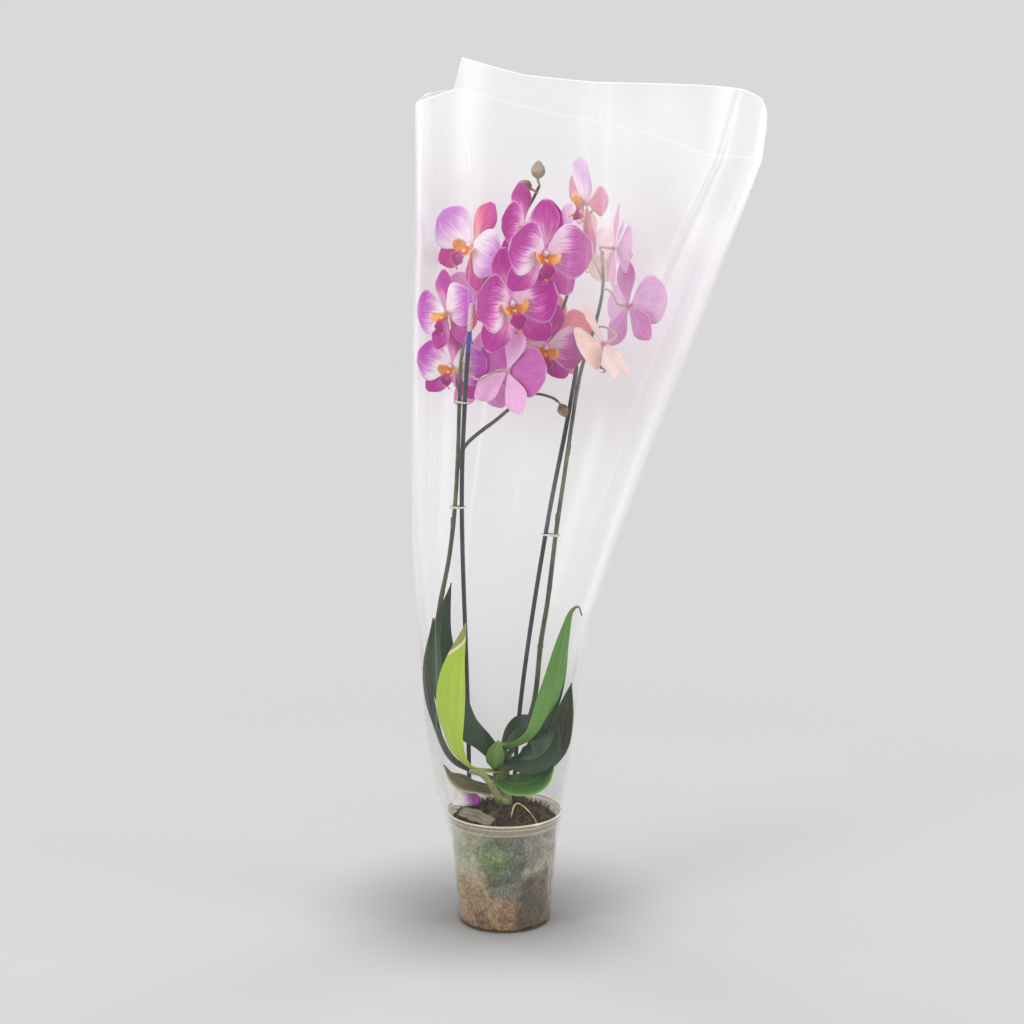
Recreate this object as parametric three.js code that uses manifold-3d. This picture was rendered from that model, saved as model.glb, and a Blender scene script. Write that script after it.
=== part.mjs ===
// A moth orchid in a clear nursery pot, inside the cone of clear film it is sold in.
// Millimetres, +Z up. The origin is the middle of the pot's underside. The front is -Y.
import * as THREE from "three";
import { mergeVertices } from "three/addons/utils/BufferGeometryUtils.js";
import Module from "manifold-3d";

const wasm = await Module();
wasm.setup();

// ---- driving dimensions ----

const GAP = 0.35; // left between two pieces that touch
const WELD_TOLERANCE = 1e-3;

const POT = {
  height: 118,
  baseRadius: 48.5,
  shoulderRadius: 56.5,
  rimRadius: 60,
  rimHeight: 6,
  wall: 1.2,
  floor: 1.6,
  sides: 32,
};
const DRAIN = { count: 8, radius: 3, ring: 34, sides: 8 };

const BARK = {
  edgeHeight: 107,
  domeHeight: 119,
  ripple: 1.1,
  sides: 20,
  chips: 13,
  chipLength: 29,
  chipWidth: 18,
  chipThickness: 8,
};

const CROWN = { foot: 92, top: 187, footRadius: 9.5, topRadius: 7.5, leanX: -5 };
const STEM_RADIUS = 2.9;
const STAKE_RADIUS = 2.3;
const PEDICEL_RADIUS = 1.25;
const TIE_RADIUS = 0.7;
const FILM_THICKNESS = 0.6;
const SLEEVE_FOOT = 88;

const BLOOM = {
  sepal: { length: 52, width: 30, thickness: 0.75 },
  petal: { length: 49, width: 55, thickness: 0.75 },
  hubRadius: 4,
  lip: 1.25,
};

const COLOUR = {
  film: 0xf2f3f6,
  pot: 0xdfe2dc,
  bark: 0x4c3526,
  root: 0xb7ab72,
  leaf: 0x2f5a31,
  paleLeaf: 0x9dbb45,
  deadLeaf: 0x7c7a5c,
  stem: 0x586345,
  stake: 0x2b3230,
  tie: 0xe6e2d8,
  bud: 0x8a7258,
  bloom: 0xc653b6,
  lip: 0xd9892f,
  fallen: 0xd9b8dd,
};

// ---- small helpers ----

const point = (x, y, z) => new THREE.Vector3(x, y, z);
const path = (...places) => places.map((place) => point(...place));
const radians = THREE.MathUtils.degToRad;
const mix = THREE.MathUtils.lerp;

// Random numbers from 0 to 1 that are the same on every run.
function seeded(seed) {
  let state = seed;
  return () => {
    state = (state + 0x6d2b79f5) | 0;
    let t = Math.imul(state ^ (state >>> 15), 1 | state);
    t = (t + Math.imul(t ^ (t >>> 7), 61 | t)) ^ t;
    return ((t ^ (t >>> 14)) >>> 0) / 4294967296;
  };
}

// The value at x of a curve through a list of [x, value] pairs, in straight steps.
function along(pairs, x) {
  if (x <= pairs[0][0]) return pairs[0][1];
  for (let i = 1; i < pairs.length; i++) {
    const [x0, v0] = pairs[i - 1];
    const [x1, v1] = pairs[i];
    if (x <= x1) return mix(v0, v1, (x - x0) / (x1 - x0));
  }
  return pairs[pairs.length - 1][1];
}

function signedVolume(vertices, triangles) {
  let six = 0;
  for (const [a, b, c] of triangles) six += vertices[a].dot(vertices[b].clone().cross(vertices[c]));
  return six / 6;
}

// A solid from its corner points and triangles, turned so that its faces point out.
function solidFrom(vertices, triangles) {
  const outward = signedVolume(vertices, triangles) > 0;
  const order = outward ? triangles : triangles.map(([a, b, c]) => [a, c, b]);
  const mesh = new wasm.Mesh({
    numProp: 3,
    vertProperties: new Float32Array(vertices.flatMap((v) => [v.x, v.y, v.z])),
    triVerts: new Uint32Array(order.flat()),
  });
  return new wasm.Manifold(mesh);
}

// A geometry with only its corner points, each stored once.
function welded(geometry) {
  const bare = geometry.clone();
  bare.deleteAttribute("normal");
  bare.deleteAttribute("uv");
  return mergeVertices(bare, WELD_TOLERANCE);
}

// A closed three.js geometry as a solid, turned so that its faces point out.
function solidOf(geometry) {
  const mesh = welded(geometry);
  const index = mesh.index.array;
  const vertices = [];
  for (let i = 0; i < mesh.attributes.position.count; i++) {
    vertices.push(new THREE.Vector3().fromBufferAttribute(mesh.attributes.position, i));
  }
  const triangles = [];
  for (let i = 0; i < index.length; i += 3) triangles.push([index[i], index[i + 1], index[i + 2]]);
  return solidFrom(vertices, triangles);
}

function geometryOf(solid) {
  const mesh = solid.getMesh();
  const geometry = new THREE.BufferGeometry();
  geometry.setAttribute("position", new THREE.BufferAttribute(mesh.vertProperties, 3));
  geometry.setIndex(new THREE.BufferAttribute(mesh.triVerts, 1));
  geometry.computeVertexNormals();
  return geometry;
}

const joined = (solids) => solids.reduce((whole, solid) => whole.add(solid));

// The largest body of a solid: small scraps that a cut leaves are dropped.
function mainBody(solid) {
  const bodies = solid.decompose();
  return bodies.reduce((best, body) => (body.volume() > best.volume() ? body : best));
}

const cut = (solid, ...tools) => mainBody(tools.reduce((rest, tool) => rest.subtract(tool), solid));

// ---- shapes ----

// A round stem along a smooth curve through the points. radiusAt(u) gives its radius, u from 0 to 1.
function stem(points, radiusAt, steps, sides = 6) {
  const curve = new THREE.CatmullRomCurve3(points, false, "centripetal");
  const frames = curve.computeFrenetFrames(steps, false);
  const vertices = [];
  const triangles = [];
  for (let i = 0; i <= steps; i++) {
    const centre = curve.getPointAt(i / steps);
    const radius = radiusAt(i / steps);
    for (let j = 0; j < sides; j++) {
      const turn = (2 * Math.PI * j) / sides;
      const out = frames.normals[i].clone().multiplyScalar(Math.cos(turn));
      out.addScaledVector(frames.binormals[i], Math.sin(turn));
      vertices.push(centre.clone().addScaledVector(out, radius));
    }
  }
  for (let i = 0; i < steps; i++) {
    for (let j = 0; j < sides; j++) {
      const a = i * sides + j;
      const b = i * sides + ((j + 1) % sides);
      triangles.push([a, b, b + sides], [a, b + sides, a + sides]);
    }
  }
  const last = steps * sides;
  for (let j = 1; j < sides - 1; j++) {
    triangles.push([0, j + 1, j], [last, last + j, last + j + 1]);
  }
  return solidFrom(vertices, triangles);
}

// A closed wire ring in the plane of two unit directions.
function ring(centre, acrossA, acrossB, radiusA, radiusB, wire, steps = 9, sides = 4) {
  const vertices = [];
  const triangles = [];
  const axis = acrossA.clone().cross(acrossB).normalize();
  for (let i = 0; i < steps; i++) {
    const turn = (2 * Math.PI * i) / steps;
    const out = acrossA.clone().multiplyScalar(Math.cos(turn) * radiusA);
    out.addScaledVector(acrossB, Math.sin(turn) * radiusB);
    const outward = out.clone().normalize();
    for (let j = 0; j < sides; j++) {
      const roll = (2 * Math.PI * j) / sides;
      const vertex = centre.clone().add(out);
      vertex.addScaledVector(outward, Math.cos(roll) * wire);
      vertex.addScaledVector(axis, Math.sin(roll) * wire);
      vertices.push(vertex);
    }
  }
  for (let i = 0; i < steps; i++) {
    for (let j = 0; j < sides; j++) {
      const next = ((i + 1) % steps) * sides;
      const side = (j + 1) % sides;
      triangles.push([i * sides + j, i * sides + side, next + side]);
      triangles.push([i * sides + j, next + side, next + j]);
    }
  }
  return solidFrom(vertices, triangles);
}

// A blade: a sheet that follows a midrib, with both faces split into the same triangles.
// widthAt(u) is its full width; lift(u, s) raises a point at s, from -1 to 1 across it.
function blade({ midrib, facing, widthAt, lift, thickness, edgeThickness, steps, across }) {
  const curve = new THREE.CatmullRomCurve3(midrib, false, "centripetal");
  const facings = new THREE.CatmullRomCurve3(facing, false, "centripetal");
  const vertices = [];
  const row = 2 * (across + 1);
  for (let i = 0; i <= steps; i++) {
    const u = i / steps;
    const centre = curve.getPointAt(u);
    const ahead = curve.getTangentAt(u);
    const side = ahead.clone().cross(facings.getPoint(u)).normalize();
    const up = side.clone().cross(ahead).normalize();
    for (let j = 0; j <= across; j++) {
      const s = (2 * j) / across - 1;
      const middle = centre.clone().addScaledVector(side, (s * widthAt(u)) / 2);
      middle.addScaledVector(up, lift(u, s));
      const half = mix(thickness, edgeThickness, s * s) / 2;
      vertices.push(middle.clone().addScaledVector(up, half));
      vertices.push(middle.clone().addScaledVector(up, -half));
    }
  }
  const triangles = [];
  const top = (i, j) => i * row + 2 * j;
  const low = (i, j) => i * row + 2 * j + 1;
  const quad = (a, b, c, d) => triangles.push([a, b, c], [a, c, d]);
  for (let i = 0; i < steps; i++) {
    for (let j = 0; j < across; j++) {
      quad(top(i, j), top(i, j + 1), top(i + 1, j + 1), top(i + 1, j));
      triangles.push([low(i, j), low(i + 1, j + 1), low(i, j + 1)]);
      triangles.push([low(i, j), low(i + 1, j), low(i + 1, j + 1)]);
    }
    quad(low(i, 0), top(i, 0), top(i + 1, 0), low(i + 1, 0));
    quad(top(i, across), low(i, across), low(i + 1, across), top(i + 1, across));
  }
  for (let j = 0; j < across; j++) {
    quad(low(0, j), low(0, j + 1), top(0, j + 1), top(0, j));
    quad(top(steps, j), top(steps, j + 1), low(steps, j + 1), low(steps, j));
  }
  return solidFrom(vertices, triangles);
}

// A rounded body, such as a bud: a turned outline on its own long axis.
function budBody(foot, tip, radius, sides = 8) {
  const length = foot.distanceTo(tip);
  const outline = [
    [0, 0],
    [0.45, 0.08],
    [0.9, 0.3],
    [1, 0.55],
    [0.72, 0.82],
    [0, 1],
  ].map(([r, h]) => new THREE.Vector2(r * radius, h * length));
  const geometry = new THREE.LatheGeometry(outline, sides);
  const turn = new THREE.Quaternion().setFromUnitVectors(
    point(0, 1, 0),
    tip.clone().sub(foot).normalize(),
  );
  geometry.applyQuaternion(turn);
  geometry.translate(foot.x, foot.y, foot.z);
  return solidOf(geometry);
}

// A solid turned about the Z axis from [radius, height] pairs that close on themselves.
function turned(outline, sides) {
  const points = outline.map(([r, z]) => new THREE.Vector2(r, z));
  points.push(points[0].clone());
  const geometry = new THREE.LatheGeometry(points, sides);
  geometry.rotateX(Math.PI / 2);
  return solidOf(geometry);
}

// ---- the pot ----

const potRadiusAt = (z) => along([[0, POT.baseRadius], [POT.height - 12, POT.shoulderRadius]], z);

function pot() {
  const rimFoot = POT.height - POT.rimHeight;
  const shell = turned(
    [
      [0, 0],
      [POT.baseRadius - 1.5, 0],
      [POT.baseRadius, 1.5],
      [POT.shoulderRadius, rimFoot - 6],
      [POT.shoulderRadius + 1.8, rimFoot - 4.5],
      [POT.shoulderRadius + 1.8, rimFoot],
      [POT.rimRadius, rimFoot],
      [POT.rimRadius, POT.height],
      [POT.rimRadius - POT.wall, POT.height],
      [POT.shoulderRadius - POT.wall + 1.6, rimFoot - 4],
      [POT.shoulderRadius - POT.wall, rimFoot - 7],
      [POT.baseRadius - POT.wall, POT.floor],
      [0, POT.floor],
    ],
    POT.sides,
  );
  const drill = new THREE.CylinderGeometry(DRAIN.radius, DRAIN.radius, 4 * POT.floor, DRAIN.sides);
  drill.rotateX(Math.PI / 2);
  const holes = [];
  for (let i = 0; i < DRAIN.count; i++) {
    const turn = (2 * Math.PI * i) / DRAIN.count;
    const hole = drill.clone();
    hole.translate(DRAIN.ring * Math.cos(turn), DRAIN.ring * Math.sin(turn), 0);
    holes.push(solidOf(hole));
  }
  return cut(shell, ...holes);
}

// ---- what stands in the bark ----

const crownAxis = (z) => point((CROWN.leanX * (z - CROWN.foot)) / (CROWN.top - CROWN.foot), 0, z);

function crown(grow = 0) {
  const spine = [CROWN.foot - grow, 120, 150, CROWN.top + grow].map(crownAxis);
  const radiusAt = (u) => mix(CROWN.footRadius, CROWN.topRadius, u) + 0.5 * Math.sin(26 * u) + grow;
  return stem(spine, radiusAt, 9, 10);
}

const STAKES = {
  stake_left: path([-36, 18, 30], [-37.8, 17, 211], [-43, 4, 441], [-38, -28, 557], [-31, -62, 644]),
  stake_right: path([6, 21, 30], [15.1, 20, 210], [44.4, 10, 420], [62, 4, 515], [72.8, 0, 578]),
};

function stake(name, grow = 0) {
  const [foot, ...rest] = STAKES[name];
  return stem([foot.clone().setZ(foot.z - grow), ...rest], () => STAKE_RADIUS + grow, 11, 7);
}

// The root that loops out of the bark at the front and dives back in.
const ROOT = path(
  [6, -24, 112],
  [8, -30, 123],
  [12, -27, 131],
  [20, -29, 129],
  [31, -34, 118],
  [36, -37, 108],
);
const root = (grow = 0) => stem(ROOT, (u) => mix(2.3, 1.5, u) + grow, 8, 5);

// ---- the bark ----

function barkCore() {
  const inner = (z) => potRadiusAt(z) - POT.wall - GAP - BARK.ripple - 0.3;
  const outline = [
    [20, POT.floor + GAP],
    [44, POT.floor + GAP],
    [inner(6), 6],
    [inner(40), 40],
    [inner(74), 74],
    [inner(BARK.edgeHeight), BARK.edgeHeight],
    [40, mix(BARK.edgeHeight, BARK.domeHeight, 0.55)],
    [22, mix(BARK.edgeHeight, BARK.domeHeight, 0.9)],
  ];
  const random = seeded(11);
  const vertices = [point(0, 0, POT.floor + GAP)];
  outline.forEach(([r, z], k) => {
    for (let j = 0; j < BARK.sides; j++) {
      const turn = (2 * Math.PI * j) / BARK.sides;
      const onFloor = k < 2;
      const radius = onFloor ? r : r + BARK.ripple * (2 * random() - 1);
      const height = k > 5 ? z + BARK.ripple * (2 * random() - 1) : z;
      vertices.push(point(radius * Math.cos(turn), radius * Math.sin(turn), height));
    }
  });
  vertices.push(point(0, 0, BARK.domeHeight));
  const triangles = [];
  const at = (k, j) => 1 + k * BARK.sides + (j % BARK.sides);
  const last = vertices.length - 1;
  for (let j = 0; j < BARK.sides; j++) {
    triangles.push([0, at(0, j + 1), at(0, j)]);
    triangles.push([last, at(outline.length - 1, j), at(outline.length - 1, j + 1)]);
    for (let k = 0; k < outline.length - 1; k++) {
      triangles.push([at(k, j), at(k, j + 1), at(k + 1, j + 1)]);
      triangles.push([at(k, j), at(k + 1, j + 1), at(k + 1, j)]);
    }
  }
  return solidFrom(vertices, triangles);
}

// One chip of bark: a slab with no two corners alike, half sunk in the dome.
function barkChip(random, angle, radius) {
  const length = BARK.chipLength * mix(0.6, 1.15, random());
  const width = BARK.chipWidth * mix(0.6, 1.1, random());
  const geometry = new THREE.BoxGeometry(length, width, BARK.chipThickness * mix(0.6, 1.1, random()));
  const merged = welded(geometry);
  const places = merged.attributes.position;
  for (let i = 0; i < places.count; i++) {
    places.setXYZ(
      i,
      places.getX(i) * mix(0.7, 1.1, random()),
      places.getY(i) * mix(0.6, 1.1, random()),
      places.getZ(i) * mix(0.7, 1.2, random()),
    );
  }
  merged.rotateY(mix(-0.5, 0.5, random()));
  merged.rotateX(mix(-0.5, 0.5, random()));
  merged.rotateZ(2 * Math.PI * random());
  const height = mix(BARK.domeHeight, BARK.edgeHeight, (radius / 52) ** 2);
  merged.translate(radius * Math.cos(angle), radius * Math.sin(angle), height + mix(-0.5, 2.5, random()));
  return solidOf(merged);
}

function barkMedium() {
  const random = seeded(7);
  const goldenTurn = Math.PI * (3 - Math.sqrt(5));
  const chips = [];
  for (let i = 0; i < BARK.chips; i++) {
    const radius = 51 * Math.sqrt((i + 0.5) / BARK.chips);
    chips.push(barkChip(random, i * goldenTurn, radius));
  }
  const insidePot = turned(
    [
      [0, 1],
      [potRadiusAt(0) - POT.wall - GAP - 1, 1],
      [potRadiusAt(100) - POT.wall - GAP, 100],
      [potRadiusAt(106) - POT.wall - GAP, 160],
      [0, 160],
    ],
    POT.sides,
  );
  const heap = joined([barkCore(), ...chips]).intersect(insidePot);
  const holes = [
    crown(GAP),
    stake("stake_left", GAP),
    stake("stake_right", GAP),
    root(GAP),
  ];
  return cut(heap, ...holes);
}

// ---- leaves ----

// Width along a leaf: narrow where it clasps the crown and widest past the middle. A leaf with
// pointed 0 has a blunt tip, and one with pointed 1 tapers from before its middle.
function leafWidth(u, width, foot, pointed) {
  const widest = mix(0.6, 0.4, pointed);
  const swell = mix(foot, 1, Math.sin(Math.min(1, u / widest) * (Math.PI / 2)) ** 1.3);
  const reach = Math.max(0, (u - widest) / (1 - widest));
  const tip = Math.max(0.07, Math.cos(reach * (Math.PI / 2)) ** mix(0.6, 1.2, pointed));
  return width * swell * tip;
}

function leaf({ midrib, facing, width, foot = 0.4, pointed = 0.4, fold = 0.25, wave = 0, steps = 8 }) {
  return blade({
    midrib,
    facing,
    widthAt: (u) => leafWidth(u, width, foot, pointed),
    lift: (u, s) => {
      const half = leafWidth(u, width, foot, pointed) / 2;
      return fold * half * Math.abs(s) + wave * s * s * Math.sin(9 * u + 2 * s);
    },
    thickness: 2,
    edgeThickness: 0.9,
    steps,
    across: 4,
  });
}

const UP = point(0, 0, 1);
const BACK = point(0, 1, 0);

// Each leaf: the places its midrib passes, and the way its upper face looks at each of them.
const LEAVES = {
  leaf_left_pale: {
    midrib: path(
      [-6, -2, 158],
      [-26, -17, 164],
      [-46, -27, 180],
      [-55, -30, 215],
      [-53, -27, 265],
      [-38, -20, 322],
    ),
    facing: [UP, UP, point(0.7, 0.5, 0.6), point(0.5, 1, 0), BACK, BACK],
    width: 37,
    pointed: 0.8,
    fold: 0.12,
    colour: COLOUR.paleLeaf,
  },
  leaf_left_dark: {
    midrib: path([-6, 0, 172], [-22, -3, 189], [-42, -4, 208], [-60, -2, 250], [-66, 1, 300], [-54, 4, 356]),
    facing: path(
      [0, -0.5, 1],
      [0.3, -0.8, 0.7],
      [0.4, -0.8, 0.6],
      [0.5, -1, 0.2],
      [0.4, -1, 0],
      [0.4, -1, 0],
    ),
    width: 36,
    foot: 0.5,
    pointed: 0.8,
    fold: 0.22,
  },
  leaf_left_far: {
    midrib: path([-2, 2, 146], [-28, 3, 154], [-56, 6, 168], [-76, 12, 215], [-82, 16, 265], [-73, 18, 316]),
    facing: path([0, 0, 1], [0, 0, 1], [0.7, 0, 0.7], [1, -0.4, 0.1], [1, -0.5, 0], [1, -0.6, 0]),
    width: 24,
    foot: 0.3,
    pointed: 1,
  },
  leaf_left_dead: {
    midrib: path([-2, 2, 140], [-18, -12, 145], [-36, -20, 152], [-52, -24, 160], [-62, -25, 172]),
    facing: path([0, -0.2, 1], [0, -0.5, 0.9], [0, -0.5, 0.9], [0.3, -0.4, 0.9], [0.5, -0.3, 0.9]),
    width: 24,
    fold: -0.3,
    wave: 1.5,
    steps: 6,
    colour: COLOUR.deadLeaf,
  },
  leaf_right_tall: {
    midrib: path(
      [-3, -2, 181],
      [12, -14, 189],
      [28, -19, 199],
      [40, -18, 217],
      [48, -15, 245],
      [55, -12, 276],
      [61, -9, 303],
      [69, -6, 329],
      [75, -5, 333],
      [79, -5, 324],
    ),
    facing: path(
      [0, 0, 1],
      [-0.2, 0.2, 1],
      [-0.5, 0.4, 0.8],
      [-0.6, 0.8, 0.3],
      [-0.2, 1, 0],
      [0, 1, 0],
      [0, 1, 0],
      [0, 1, 0],
      [0, 1, 0],
      [0, 1, 0],
    ),
    width: 22,
    pointed: 1,
    fold: 0.75,
    steps: 12,
  },
  leaf_right_behind: {
    midrib: path([2, 4, 156], [16, 11, 163], [32, 22, 180], [45, 30, 212], [56, 24, 252], [67, 12, 306]),
    facing: path([0, 0, 1], [0, 0, 1], [-0.4, -0.4, 0.8], [-0.5, -1, 0.3], [-0.3, -1, 0], [-0.3, -1, 0]),
    width: 24,
    foot: 0.3,
    pointed: 1,
    fold: 0.15,
    steps: 7,
  },
  leaf_right_film: {
    midrib: path([0, 2, 146], [22, 4, 150], [42, 6, 158], [56, 8, 180], [63, 8, 212], [69, 6, 250]),
    facing: path([0, 0, 1], [0, 0, 1], [-0.5, -0.4, 1], [-0.8, -0.9, 0.3], [-0.7, -1, 0], [-0.7, -1, 0]),
    width: 32,
    foot: 0.45,
    pointed: 0.6,
  },
  leaf_right_broad: {
    midrib: path([5, -7, 172], [15, -20, 176], [30, -26, 179], [45, -26, 191], [55, -22, 212]),
    facing: path([0, -0.4, 1], [-0.1, -0.7, 0.7], [-0.2, -0.8, 0.6], [-0.5, -0.7, 0.5], [-0.8, -0.5, 0.2]),
    width: 38,
    fold: 0.15,
  },
  leaf_right_low: {
    midrib: path([-2, -8, 150], [12, -24, 151], [30, -31, 156], [43, -28, 168], [52, -24, 187]),
    facing: path([0, -0.3, 1], [0, -0.5, 0.85], [-0.15, -0.5, 0.85], [-0.5, -0.4, 0.75], [-0.9, -0.2, 0.3]),
    width: 38,
    foot: 0.65,
    fold: 0.15,
    colour: COLOUR.paleLeaf,
  },
  leaf_back_short: {
    midrib: path([-3, 10, 176], [7, 8, 195], [20, 7.2, 204], [34, 7.5, 202], [45, 7, 193]),
    facing: path([0, -0.2, 1], [-0.2, -0.4, 0.9], [0, -0.6, 0.8], [0.2, -0.6, 0.8], [0.4, -0.5, 0.8]),
    width: 27,
    fold: 0.12,
    steps: 6,
  },
  leaf_centre: {
    midrib: path([-11, -4, 162], [-10, -15, 168], [-9, -20, 182], [-6, -21, 197]),
    facing: [BACK, point(0, 1, 0.4), BACK, BACK],
    width: 19,
    foot: 0.5,
    fold: 0.45,
    steps: 6,
  },
};

// ---- flower spikes ----

// A spike swells a little at each joint.
const jointed = (radius, count, taper) => (u) => {
  const joint = Math.abs(((u * count) % 1) - 0.5) > 0.44 ? 1.2 : 1;
  return mix(radius, radius * taper, u) * joint;
};

const SPIKE_LEFT = path(
  [-2, 4, 160],
  [-22, 24, 172],
  [-46, 35, 190],
  [-66, 38, 222],
  [-71, 34, 262],
  [-69, 24, 312],
  [-56, 12, 383],
  [-50, 6, 435],
  [-46.5, -1, 490],
  [-44.5, -10, 545],
  [-42, -12, 590],
  [-34, 4, 628],
  [-14, 26, 670],
  [13, 20, 716],
  [30, 8, 745],
  [35, 2, 756],
);
const SIDE_BRANCH = path(
  [-48, 2, 470],
  [-40, 2, 496],
  [-4, 8, 526],
  [22, 8, 550],
  [40, 18, 585],
  [58, 28, 630],
  [70, 26, 672],
  [72, 18, 705],
);
const BUD_TWIG = path([21, 8, 549], [36, 4, 549], [50, 0, 545], [54, -2, 542]);
const SPIKE_RIGHT = path(
  [-3, 2, 158],
  [12, 12, 186],
  [28, 22, 214],
  [38, 21, 292],
  [44.5, 13, 336],
  [52.5, 6, 408],
  [60, 4, 462],
  [68, 2, 520],
  [77, 8, 572],
  [90, 22, 612],
  [99, 30, 652],
  [98, 28, 690],
);

// ---- blooms ----

// Each bloom: the middle of its face, where it looks (turn about Z from the front, then tilt up),
// its roll, how far its petals lean forward, its size against the usual, the point of the spike that
// its stalk leaves, and a place that the stalk passes where it has to go round something. Angles
// are in degrees.
const BLOOMS = [
  { at: [7, -38, 644], turn: 12, tilt: 0, roll: 12, lean: 38, size: 1.03, from: ["left", 0.8] },
  { at: [39, -64, 694], turn: 13, tilt: -6, roll: -2, lean: 30, size: 0.96, from: ["branch", 0.97],
    via: [52, -16, 672] },
  { at: [20, -14, 718], turn: 35, tilt: 0, roll: 4, lean: 20, size: 0.8, from: ["left", 0.93] },
  { at: [-32, 35, 697], turn: -35, tilt: 0, roll: -28, lean: 12, size: 0.93, from: ["left", 0.86] },
  { at: [-56, -24, 634], turn: -42, tilt: 0, roll: 12, lean: 2, size: 0.8, from: ["left", 0.78] },
  { at: [-52, 10, 578], turn: -22, tilt: -5, roll: -6, lean: 2, size: 0.78, from: ["left", 0.6],
    via: [-44, 22, 540] },
  { at: [-24, 66, 640], turn: -165, tilt: 0, roll: 0, lean: 10, size: 0.85, from: ["left", 0.8] },
  { at: [-22, 44, 566], turn: 160, tilt: -12, roll: 0, lean: 10, size: 0.82, from: ["left", 0.75] },
  { at: [4, -24, 575], turn: 142, tilt: -10, roll: 11, lean: 4, size: 0.9, from: ["left", 0.7],
    via: [-28, -14, 566] },
  { at: [41, 6, 598], turn: 12, tilt: -18, roll: -8, lean: 10, size: 0.86, from: ["branch", 0.72] },
  { at: [50, 62, 602], turn: 160, tilt: -5, roll: 0, lean: 10, size: 0.86, from: ["branch", 0.75] },
  { at: [80, -8, 738], turn: -68, tilt: 0, roll: 60, lean: 12, size: 0.98, from: ["branch", 1] },
  { at: [110, 4, 694], turn: 96, tilt: -5, roll: 5, lean: 12, size: 0.86, from: ["right", 0.97] },
  { at: [126, 34, 636], turn: 130, tilt: -5, roll: -10, lean: 14, size: 0.92, from: ["right", 0.93] },
  { at: [98, -26, 602], turn: -110, tilt: -30, roll: 0, lean: 16, size: 0.86, from: ["right", 0.86] },
  { at: [82, 66, 690], turn: 175, tilt: -5, roll: 0, lean: 10, size: 0.8, from: ["right", 0.95] },
];

function sepalWidth(u, width) {
  return width * Math.max(0.13, Math.sin(Math.PI * mix(0.03, 0.95, u ** 1.35)));
}

function petalWidth(u, width) {
  return width * Math.max(0.08, Math.sin(Math.PI * mix(0.02, 0.94, u ** 1.1)) ** 0.85);
}

// A tepal grows from the hub at an angle from the bloom's own up, and leans forward out of its face.
function tepal({ angle, lean, length, width, thickness, depth, curl, cup, widthAt, steps, across }) {
  const aside = point(Math.sin(angle), Math.cos(angle), 0);
  const out = aside.clone().multiplyScalar(Math.cos(lean)).addScaledVector(UP, Math.sin(lean));
  const face = UP.clone().multiplyScalar(Math.cos(lean)).addScaledVector(aside, -Math.sin(lean));
  const place = (r, z) => point(0, 0, depth).addScaledVector(out, r * length).addScaledVector(face, z);
  return blade({
    midrib: [place(0.04, 0), place(0.35, 0.6 * curl), place(0.7, 0.4 * curl), place(1, -curl)],
    facing: [face, face, face],
    widthAt: (u) => widthAt(u, width),
    lift: (u, s) => cup * s * s * Math.sin(Math.PI * u),
    thickness,
    edgeThickness: thickness,
    steps,
    across,
  });
}

function tepals(size, lean) {
  const { sepal, petal, hubRadius } = BLOOM;
  const outline = [
    [0, -4],
    [hubRadius - 1, -4],
    [hubRadius, 2.5],
    [hubRadius - 1.2, 8],
    [0, 8],
  ];
  const hub = new THREE.LatheGeometry(outline.map(([r, z]) => new THREE.Vector2(r, z)), 4);
  hub.rotateX(Math.PI / 2);
  const parts = [solidOf(hub)];
  for (const degrees of [0, 142, -142]) {
    parts.push(
      tepal({
        angle: radians(degrees),
        lean: 0,
        length: sepal.length * size,
        width: sepal.width * size,
        thickness: sepal.thickness,
        depth: -0.9,
        curl: 1.2,
        cup: -0.8,
        widthAt: sepalWidth,
        steps: 4,
        across: 2,
      }),
    );
  }
  for (const degrees of [80, -80]) {
    parts.push(
      tepal({
        angle: radians(degrees),
        lean: radians(lean),
        length: petal.length * size,
        width: petal.width * size,
        thickness: petal.thickness,
        depth: 1.7,
        curl: 1.8,
        cup: 1.4,
        widthAt: petalWidth,
        steps: 4,
        across: 3,
      }),
    );
  }
  return joined(parts);
}

// The lip: a sheet that juts forward. Near its foot its two side lobes stand up beside the column,
// then it narrows to a waist and widens again into the pointed middle lobe.
function lip(size) {
  return blade({
    midrib: path([0, -4.4, 3.2], [0, -6, 8], [0, -11, 12.5], [0, -19, 12]).map((p) => p.multiplyScalar(size)),
    facing: [UP, UP, UP],
    widthAt: (u) => size * along([[0, 4], [0.2, 14], [0.4, 7], [0.6, 13], [0.8, 9], [1, 1.5]], u),
    lift: (u, s) => size * s * s * along([[0, 0.5], [0.2, 6], [0.4, 1], [1, 1.5]], u),
    thickness: 1.3,
    edgeThickness: 0.8,
    steps: 5,
    across: 2,
  });
}

// The turn that carries a bloom's own axes (X across, Y up, Z out of its face) to its place.
function bloomPlace({ at, turn, tilt, roll }) {
  const out = point(
    Math.sin(radians(turn)) * Math.cos(radians(tilt)),
    -Math.cos(radians(turn)) * Math.cos(radians(tilt)),
    Math.sin(radians(tilt)),
  );
  const across = UP.clone().cross(out).normalize();
  const up = out.clone().cross(across);
  const matrix = new THREE.Matrix4().makeBasis(across, up, out);
  matrix.multiply(new THREE.Matrix4().makeRotationZ(radians(roll)));
  matrix.setPosition(...at);
  return matrix;
}

const placed = (solid, matrix) => solid.transform([...matrix.elements]);

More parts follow.
